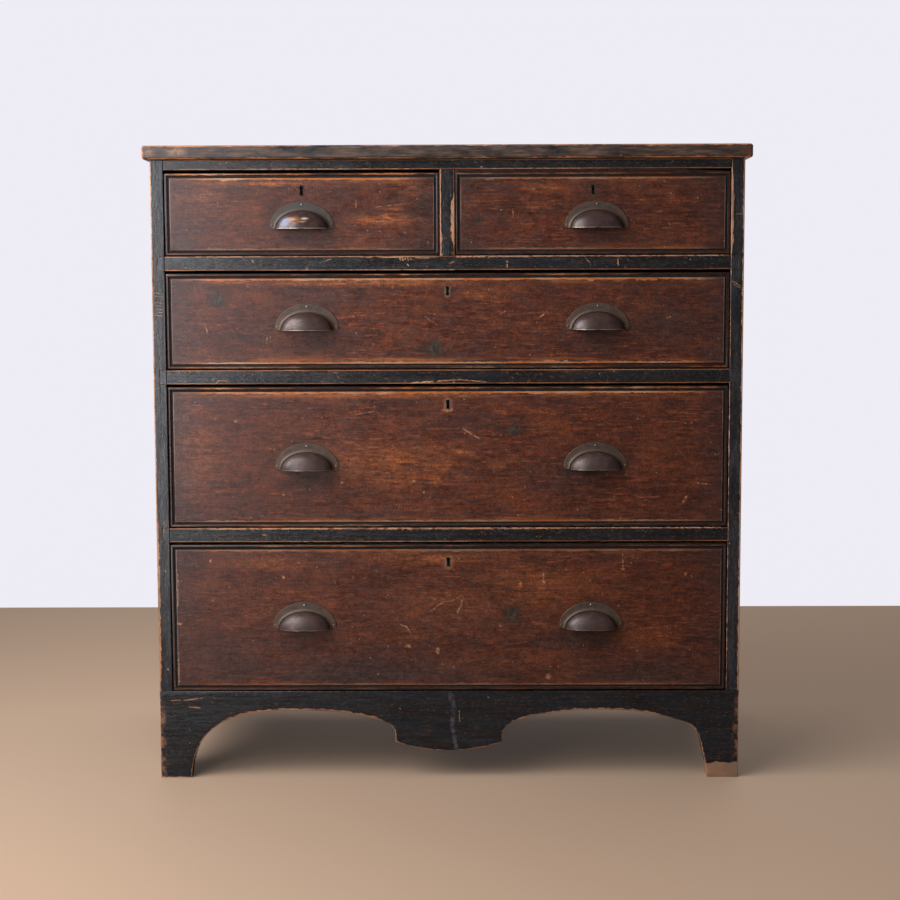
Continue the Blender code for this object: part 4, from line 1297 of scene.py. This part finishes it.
def make_pulls(bronze, pin_finish, side_pin_finish):
    source = make_pull()
    change(source, "SOLIDIFY", thickness=WALL * MILLI, offset=-1.0, use_even_offset=True)
    with editing(source):
        bpy.ops.mesh.select_all(action="SELECT")
        bpy.ops.mesh.normals_make_consistent(inside=False)
    smooth(source, 35)
    mark_pull(source.data)
    pin = make_pin()
    side_x, side_z = SIDE_PIN_PLACE
    places = (
        (0.0, TOP_PIN_HEIGHT, pin_finish),
        (-side_x, side_z, side_pin_finish),
        (side_x, side_z, side_pin_finish),
    )
    for drawer in DRAWERS:
        pulls = ("pull",) if drawer.startswith("small") else ("left_pull", "right_pull")
        for label in pulls:
            node = f"{drawer}_{label}"
            low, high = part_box(node)
            middle = (low.x + high.x) / 2
            piece = copy_of(source, node + "_cup", (middle, PULL_BACK, low.z))
            seat(piece, drawer, "bronze", bronze.get(drawer.removesuffix("_drawer"), bronze["dull"]), node)
            for number, (x, z, metal) in enumerate(places, 1):
                place = (middle + x * MILLI, PULL_BACK - 0.0015, low.z + z * MILLI)
                seat(copy_of(pin, f"{node}_pin_{number}", place), drawer, "bronze", metal)
    bpy.data.objects.remove(source)
    bpy.data.objects.remove(pin)


# Keyhole liners

# The middle of a keyhole's round top, above its slot's middle
KEY_TOP = 0.00395


def keyhole_shape(radius, half_slot, bottom, front, back):
    """A keyhole's shape: a round top on a straight slot, between two depths."""
    middle, deep = (front + back) / 2, back - front
    tall = KEY_TOP - bottom
    bpy.ops.object.select_all(action="DESELECT")
    bpy.ops.mesh.primitive_cylinder_add(
        vertices=32, radius=radius, depth=deep, location=(0, middle, KEY_TOP), rotation=(math.pi / 2, 0, 0)
    )
    hole = bpy.context.active_object
    bpy.ops.mesh.primitive_cube_add(
        size=1, location=(0, middle, bottom + tall / 2), scale=(2 * half_slot, deep, tall)
    )
    combine(hole, bpy.context.active_object, "UNION")
    return hole


def combine(target, tool, operation):
    """Joins or cuts one piece with another, which is then removed."""
    change(target, "BOOLEAN", operation=operation, solver="EXACT", object=tool)
    bpy.data.objects.remove(tool)


def make_liners(finish, dark_finish):
    """A thin brass rim in each keyhole, with a narrow lip on the front."""
    liner = keyhole_shape(0.0037, 0.0027, -0.00765, 0.0, 0.0070)
    combine(liner, keyhole_shape(0.0044, 0.0036, -0.0083, -0.00035, 0.0), "UNION")
    combine(liner, keyhole_shape(0.0029, 0.0022, -0.0070, -0.0020, 0.0090), "DIFFERENCE")
    work_on(liner)
    bpy.ops.object.transform_apply(location=True, rotation=True, scale=True)
    smooth(liner, 35)
    for drawer in DRAWERS:
        low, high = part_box(drawer + "_front")
        place = ((low.x + high.x) / 2, DRAWER_FACE, high.z - KEY_DROP)
        piece = copy_of(liner, drawer + "_keyhole_liner", place)
        seat(piece, drawer, "lock_brass", dark_finish if drawer.startswith("small") else finish)
    bpy.data.objects.remove(liner)


# Screw and nail heads, the slot across a screw's head, and the screws' places on a lock case
HEAD_RADIUS = 0.0034
HEAD_HEIGHT = 0.0012
SLOT = (0.0080, 0.0010, 0.0008)
SCREWS = ((-0.026, 0.010), (0.026, 0.010), (-0.026, -0.010), (0.026, -0.010))


def make_fixings(steel):
    """Screws in the lock cases and nails in the back planks."""
    head = shape(
        bpy.ops.mesh.primitive_cylinder_add, vertices=24, radius=HEAD_RADIUS, depth=HEAD_HEIGHT,
        rotation=(math.pi / 2, 0, 0)
    )
    change(head, "BEVEL", width=0.0005, segments=2)
    nail = copy_of(head, "nail_head", (0, 0, 0))
    bpy.ops.mesh.primitive_cube_add(size=1, scale=SLOT, location=(0, HEAD_HEIGHT / 2, 0))
    combine(head, bpy.context.active_object, "DIFFERENCE")
    smooth(head, 35)
    smooth(nail, 35)
    for drawer in DRAWERS:
        low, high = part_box(drawer + "_lock_case")
        middle = (low.x + high.x) / 2
        for number, (x, z) in enumerate(SCREWS, 1):
            place = (middle + x, high.y + 0.0004, (low.z + high.z) / 2 + z)
            seat(copy_of(head, f"{drawer}_lock_screw_{number}", place), drawer, "lock_brass", steel)
    for plank in (1, 2, 3):
        low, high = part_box(f"back_plank_{plank}")
        rows = (low.z + 0.012, low.z + 0.24, low.z + 0.48, high.z - 0.012)
        places = [(x, high.y - 0.00062, z) for z in rows for x in (low.x + 0.04, high.x - 0.04)]
        for number, place in enumerate(places, 1):
            piece = copy_of(nail, f"back_plank_{plank}_nail_{number}", place)
            seat(piece, "carcass", "lock_steel", steel)
    bpy.data.objects.remove(head)
    bpy.data.objects.remove(nail)


# Drawer fronts

# Each front's own knots, rubbed and dim places, scratches and chips, in metres across and up. Knots have a
# radius. Rubbed and dim places have half a width, half a height and a strength. Pale and dark scratches have
# their other end and a width, and chips have half a width and half a height. key_wear is the colour round the
# keyhole and its strength. edges and beads are how far the stain is rubbed off the upper and the lower arris,
# and off the bead above and below, from 0 to 1.
FRONTS = {
    "small_left_drawer": {
        "seed": 0.9,
        "key_wear": (STAIN_DEEP, 0.0),
        "edges": (1.0, 0.3),
        "beads": (1.0, 0.1),
        "rubbed": (
            (-0.094, 0.8585, 0.075, 0.0125, 0.9), (0.0, 0.845, 0.05, 0.03, 0.3),
            (-0.08, 0.874, 0.03, 0.004, 0.5), (-0.30, 0.912, 0.12, 0.006, 0.8),
            (-0.36, 0.894, 0.04, 0.010, 0.35), (-0.05, 0.905, 0.04, 0.02, 0.25),
        ),
        "pale": ((-0.1373, 0.8869, -0.1374, 0.8765, 0.0006), (-0.1103, 0.8765, -0.0668, 0.8809, 0.0005)),
    },
    "small_right_drawer": {
        "seed": 2.3,
        "key_wear": (STAIN_DEEP, 0.1),
        "edges": (0.6, 0.35),
        "beads": (0.4, 0.1),
        "knots": ((0.0475, 0.858, 0.006),),
        "rubbed": ((0.145, 0.905, 0.05, 0.012, 0.5),),
        "pale": ((0.0987, 0.8728, 0.0992, 0.8608, 0.0006),),
        "chips": ((0.3767, 0.8884, 0.0012, 0.0012),),
    },
    "upper_drawer": {
        "seed": 3.7,
        "key_wear": (STAIN_DEEP, 0.5),
        "edges": (1.0, 0.9),
        "beads": (0.9, 0.5),
        "dim": (
            (0.33, 0.70, 0.10, 0.06, 0.6), (-0.19, 0.745, 0.12, 0.03, 0.5), (0.0, 0.65, 0.12, 0.02, 0.4),
            (-0.30, 0.69, 0.07, 0.05, 0.3), (0.20, 0.69, 0.09, 0.05, 0.3),
        ),
        "knots": ((-0.3463, 0.739, 0.0135), (-0.0189, 0.6644, 0.0145)),
        "rubbed": (
            (-0.12, 0.763, 0.24, 0.009, 0.7), (0.05, 0.745, 0.06, 0.012, 0.35),
            (-0.1, 0.6475, 0.2, 0.004, 0.7),
        ),
        "pale": (
            (-0.368, 0.7023, -0.3637, 0.6872, 0.0009), (-0.2735, 0.6822, -0.2736, 0.6747, 0.0007),
            (-0.269, 0.6822, -0.2691, 0.6747, 0.0007), (-0.0347, 0.7128, -0.0142, 0.6976, 0.0005),
            (0.0789, 0.7153, 0.0864, 0.7198, 0.001), (0.1365, 0.709, 0.1456, 0.715, 0.0013),
            (0.331, 0.7096, 0.337, 0.7105, 0.001),
        ),
        "dark": ((-0.3992, 0.6693, -0.3641, 0.6684, 0.0016),),
        "chips": (
            (-0.1425, 0.7133, 0.0012, 0.0015), (-0.1668, 0.6697, 0.001, 0.001),
            (0.4088, 0.6774, 0.0012, 0.0012), (0.1471, 0.6847, 0.0025, 0.0012),
        ),
    },
    "middle_drawer": {
        "seed": 5.2,
        "key_wear": (STAIN_RUBBED, 0.6),
        "edges": (1.0, 0.5),
        "beads": (0.9, 0.4),
        "dim": (
            (-0.36, 0.41, 0.14, 0.02, 0.3), (0.17, 0.47, 0.08, 0.05, 0.4), (0.04, 0.555, 0.14, 0.03, 0.35),
        ),
        "knots": ((0.1013, 0.5405, 0.0105),),
        "rubbed": (
            (-0.02, 0.463, 0.018, 0.012, 0.6), (0.02, 0.505, 0.03, 0.008, 0.6),
            (0.075, 0.487, 0.02, 0.010, 0.45), (-0.08, 0.490, 0.16, 0.05, 0.42),
            (-0.38, 0.500, 0.06, 0.09, 0.22), (-0.08, 0.593, 0.26, 0.007, 0.7),
        ),
        "pale": (
            (0.024, 0.541, 0.047, 0.527, 0.0012), (-0.148, 0.563, -0.108, 0.569, 0.0007),
            (0.3805, 0.458, 0.400, 0.4555, 0.001), (0.3585, 0.429, 0.3635, 0.437, 0.0016),
        ),
        "dark": (
            (-0.347, 0.5275, -0.339, 0.546, 0.0009), (-0.342, 0.5255, -0.335, 0.547, 0.0008),
            (-0.285, 0.442, -0.276, 0.432, 0.0014), (-0.178, 0.552, -0.153, 0.5515, 0.0013),
        ),
        "chips": (
            (-0.323, 0.5545, 0.003, 0.0018), (-0.199, 0.5395, 0.003, 0.0013),
            (-0.163, 0.4595, 0.0022, 0.0022), (-0.0525, 0.4617, 0.0026, 0.0020),
            (-0.2515, 0.4412, 0.0016, 0.0016), (-0.0375, 0.4447, 0.0018, 0.0014),
            (0.3005, 0.4315, 0.0014, 0.0014), (0.289, 0.5572, 0.0014, 0.0014), (0.0, 0.5703, 0.0090, 0.0024),
        ),
    },
    "lower_drawer": {
        "seed": 7.6,
        "key_wear": (STAIN_RUBBED, 0.5),
        "edges": (0.4, 0.3),
        "beads": (0.4, 0.12),
        "dim": (
            (-0.36, 0.18, 0.18, 0.09, 0.6), (0.03, 0.25, 0.24, 0.10, 0.3), (-0.12, 0.155, 0.36, 0.075, 0.85),
            (0.32, 0.15, 0.30, 0.075, 0.7), (0.18, 0.215, 0.11, 0.03, 0.5),
        ),
        "knots": ((0.0968, 0.2554, 0.015),),
        "rubbed": (
            (-0.02, 0.342, 0.16, 0.012, 0.5), (0.0, 0.27, 0.14, 0.06, 0.22), (0.13, 0.30, 0.12, 0.05, 0.3),
            (-0.28, 0.335, 0.12, 0.02, 0.3), (-0.05, 0.225, 0.06, 0.02, 0.2), (0.04, 0.18, 0.12, 0.018, 0.25),
        ),
        "pale": (
            (-0.0285, 0.2600, -0.0080, 0.2750, 0.0009), (-0.0080, 0.2750, 0.0080, 0.2779, 0.0008),
            (-0.0742, 0.2398, -0.065, 0.2366, 0.0012), (-0.065, 0.2366, -0.0589, 0.2272, 0.0012),
            (0.2672, 0.3478, 0.2673, 0.3262, 0.0008), (0.1456, 0.3187, 0.1456, 0.3058, 0.0014),
            (0.0080, 0.2779, 0.0210, 0.2860, 0.0006), (0.0225, 0.2840, 0.0190, 0.2700, 0.0009),
            (0.0190, 0.2700, 0.0140, 0.2590, 0.0013), (-0.4178, 0.1950, -0.4175, 0.1480, 0.0026),
            (-0.4160, 0.3200, -0.4165, 0.2700, 0.0012),
        ),
        "chips": (
            (-0.2535, 0.3138, 0.0025, 0.0022), (-0.363, 0.278, 0.002, 0.002), (-0.3651, 0.3391, 0.002, 0.003),
            (-0.4146, 0.2416, 0.005, 0.002), (-0.0622, 0.2062, 0.004, 0.0026),
            (-0.0167, 0.1995, 0.003, 0.0055), (0.2673, 0.3255, 0.003, 0.002), (0.1456, 0.3050, 0.0026, 0.003),
            (0.1104, 0.3019, 0.002, 0.0035), (0.3632, 0.3178, 0.0018, 0.003),
            (0.1566, 0.1736, 0.0015, 0.0015), (0.169, 0.1735, 0.0015, 0.0015), (0.1532, 0.158, 0.004, 0.0035),
        ),
    },
}


def front_finish(drawer, box):
    pulls = []
    for label in ("pull", "left_pull", "right_pull"):
        if f"{drawer}_{label}" in nodes:
            low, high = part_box(f"{drawer}_{label}")
            pulls.append(((low.x + high.x) / 2, low.z))
    return stained_front(drawer + "_stain", box, pulls, **FRONTS[drawer])


def make_fronts():
    for drawer in DRAWERS:
        node = drawer + "_front"
        low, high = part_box(node)
        inner = BEAD + QUIRK

        def insets(ends):
            """How far an edge on the face is from the board's outline at its ends, or nothing for others."""
            if all(near(end.y, DRAWER_FACE) for end in ends):
                return [min(end.x - low.x, high.x - end.x, end.z - low.z, high.z - end.z) for end in ends]

        def bead_edge(*ends):
            found = insets(ends)
            return found and max(found) < BEAD + 0.0002

        def panel_edge(*ends):
            found = insets(ends)
            return found and all(near(inset, inner, 0.0003) for inset in found)

        piece = softened(node, node + "_board", BEAD_ROUNDING, 4, bead_edge)
        bevel_edges(piece, PANEL_ROUNDING, 2, panel_edge)
        smooth(piece)
        seat(piece, drawer, "stained_pine", front_finish(drawer, (low, high)), node)


# The room: floor, light and camera

# A glow on the floor, seen only by the camera: painted light that stands in for what the walls of a real room
# would send back under the chest
FLOOR_GLOW = (0.026, 0.023, 0.021, 1.0)


def make_room():
    floor = shape(bpy.ops.mesh.primitive_plane_add, size=1, location=(0, -1.4, 0), scale=(9.0, 5.26, 1.0))
    floor.name = "floor"
    finish, surface, _ = new_finish("floor")
    seen = Value(surface.id_data.nodes.new("ShaderNodeLightPath").outputs["Is Camera Ray"])
    colour = mixed(seen, picked(118, 96, 80), picked(192, 161, 134))
    join(colour, surface.inputs["Base Color"])
    glow = mixed(seen, (0.0, 0.0, 0.0, 1.0), FLOOR_GLOW)
    join(glow, surface.inputs["Emission Color"])
    surface.inputs["Emission Strength"].default_value = 1.0
    surface.inputs["Roughness"].default_value = 0.7
    surface.inputs["Specular IOR Level"].default_value = 0.2
    floor.data.materials.append(finish)

    world = bpy.data.worlds.new("room")
    world.use_nodes = True
    bpy.context.scene.world = world
    steps = world.node_tree.nodes
    light = steps["Background"]
    light.inputs["Color"].default_value = (0.93, 0.95, 1.0, 1.0)
    light.inputs["Strength"].default_value = 0.13
    wall = steps.new("ShaderNodeBackground")
    wall.inputs["Color"].default_value = picked(238, 236, 245)
    wall.inputs["Strength"].default_value = 1.0
    path = outputs_of(steps.new("ShaderNodeLightPath"))
    mirrored = most(path["Is Glossy Ray"], path["Is Transmission Ray"])
    _, inward, _ = split(Value(steps.new("ShaderNodeTexCoord").outputs["Generated"]))
    behind = ramp(inward, 0.0, 0.3)
    choice = steps.new("ShaderNodeMixShader")
    join(most(path["Is Camera Ray"], mirrored * behind), choice.inputs[0])
    join(Value(light.outputs[0]), choice.inputs[1])
    join(Value(wall.outputs[0]), choice.inputs[2])
    join(Value(choice.outputs[0]), steps["World Output"].inputs["Surface"])


def make_lamp(name, place, target, size, power, colour):
    lamp = bpy.data.lights.new(name, "AREA")
    lamp.shape = "RECTANGLE"
    lamp.size, lamp.size_y = size
    lamp.energy = power
    lamp.color = colour
    holder = bpy.data.objects.new(name, lamp)
    holder.location = place
    holder.rotation_euler = (Vector(target) - Vector(place)).to_track_quat("-Z", "Y").to_euler()
    bpy.context.scene.collection.objects.link(holder)


def make_lights():
    make_lamp("window", (-1.20, -0.9, 1.45), (0.0, -0.5, 0.6), (1.3, 1.4), 33.0, (0.95, 0.965, 1.0))
    make_lamp("far_window", (-0.98, -2.0, 0.87), (-0.1, -0.3, 0.60), (0.6, 1.7), 16.0, (0.92, 0.95, 1.0))
    make_lamp("ceiling", (0.4, 1.3, 2.8), (0.4, 0.9, 0.0), (3.0, 2.0), 24.0, (1.0, 0.99, 0.98))


def make_camera():
    view = bpy.data.cameras.new("camera")
    view.lens = 68.0
    view.sensor_width = 36.0
    camera = bpy.data.objects.new("camera", view)
    bpy.context.scene.collection.objects.link(camera)
    turn = Matrix.Rotation(math.radians(0.40), 4, "Z")
    tip = Matrix.Rotation(math.radians(90 - 5.26), 4, "X")
    roll = Matrix.Rotation(math.radians(-0.19), 4, "Z")
    camera.matrix_world = Matrix.Translation((0.021, FACE - 2.578, 0.7468)) @ turn @ tip @ roll
    bpy.context.scene.camera = camera
    bpy.context.scene.view_settings.view_transform = "Standard"


make_camera()
make_lights()
make_room()
make_top()
make_sides()
make_rails()
make_divider()
make_apron()
make_bare_boards()
make_fronts()
BRASS = plain_metal("lock_plate_brass", picked(150, 126, 82), picked(96, 80, 56), 0.35)
LINER = plain_metal("liner_brass", picked(122, 106, 92), picked(86, 72, 62), 0.5, 0.4)
DARK_LINER = plain_metal("dark_liner_brass", picked(70, 54, 46), picked(52, 40, 36), 0.6, 0.3)
TOP_PIN = plain_metal("top_pin_metal", picked(170, 164, 156), picked(120, 112, 102), 0.35)
SIDE_PIN = plain_metal("side_pin_brass", picked(150, 122, 78), picked(100, 80, 52), 0.4)
STEEL = plain_metal("bolt_steel", picked(120, 116, 112), picked(70, 64, 60), 0.35)
low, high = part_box("small_left_drawer_pull")
middle = (low.x + high.x) / 2
# Painted highlights and reflections on the small left drawer's cup, partly worn bright metal: each is across,
# up, half a width, half a height and a colour
PAINTED_GLINTS = (
    (middle - 0.0240, low.z + 0.0080, 0.0110, 0.0130, picked(98, 102, 124)),
    (middle - 0.009, low.z + 0.0125, 0.013, 0.0075, picked(150, 96, 58)),
    (middle + 0.006, low.z + 0.0140, 0.008, 0.0026, picked(226, 206, 188)),
    (middle + 0.003, low.z + 0.0095, 0.009, 0.0016, picked(190, 140, 96)),
)
FLANGE = (picked(90, 70, 57), picked(68, 51, 43))
HANDLED_FLANGE = (picked(74, 66, 60), picked(56, 47, 44))
BRONZE = {
    "small_left": old_bronze("handled_bronze_painted_glints", 0.17, picked(212, 190, 164), HANDLED_FLANGE, PAINTED_GLINTS),
    "small_right": old_bronze("bronze", 0.26, picked(176, 156, 132), FLANGE),
    "dull": old_bronze("dull_bronze", 0.36, picked(150, 130, 110), FLANGE),
}
BRONZE["upper"] = BRONZE["small_right"]
make_pulls(BRONZE, TOP_PIN, SIDE_PIN)
make_liners(LINER, DARK_LINER)
make_fixings(STEEL)
for drawer in DRAWERS:
    refinish(drawer + "_lock_case", BRASS)
    refinish(drawer + "_lock_bolt", STEEL)
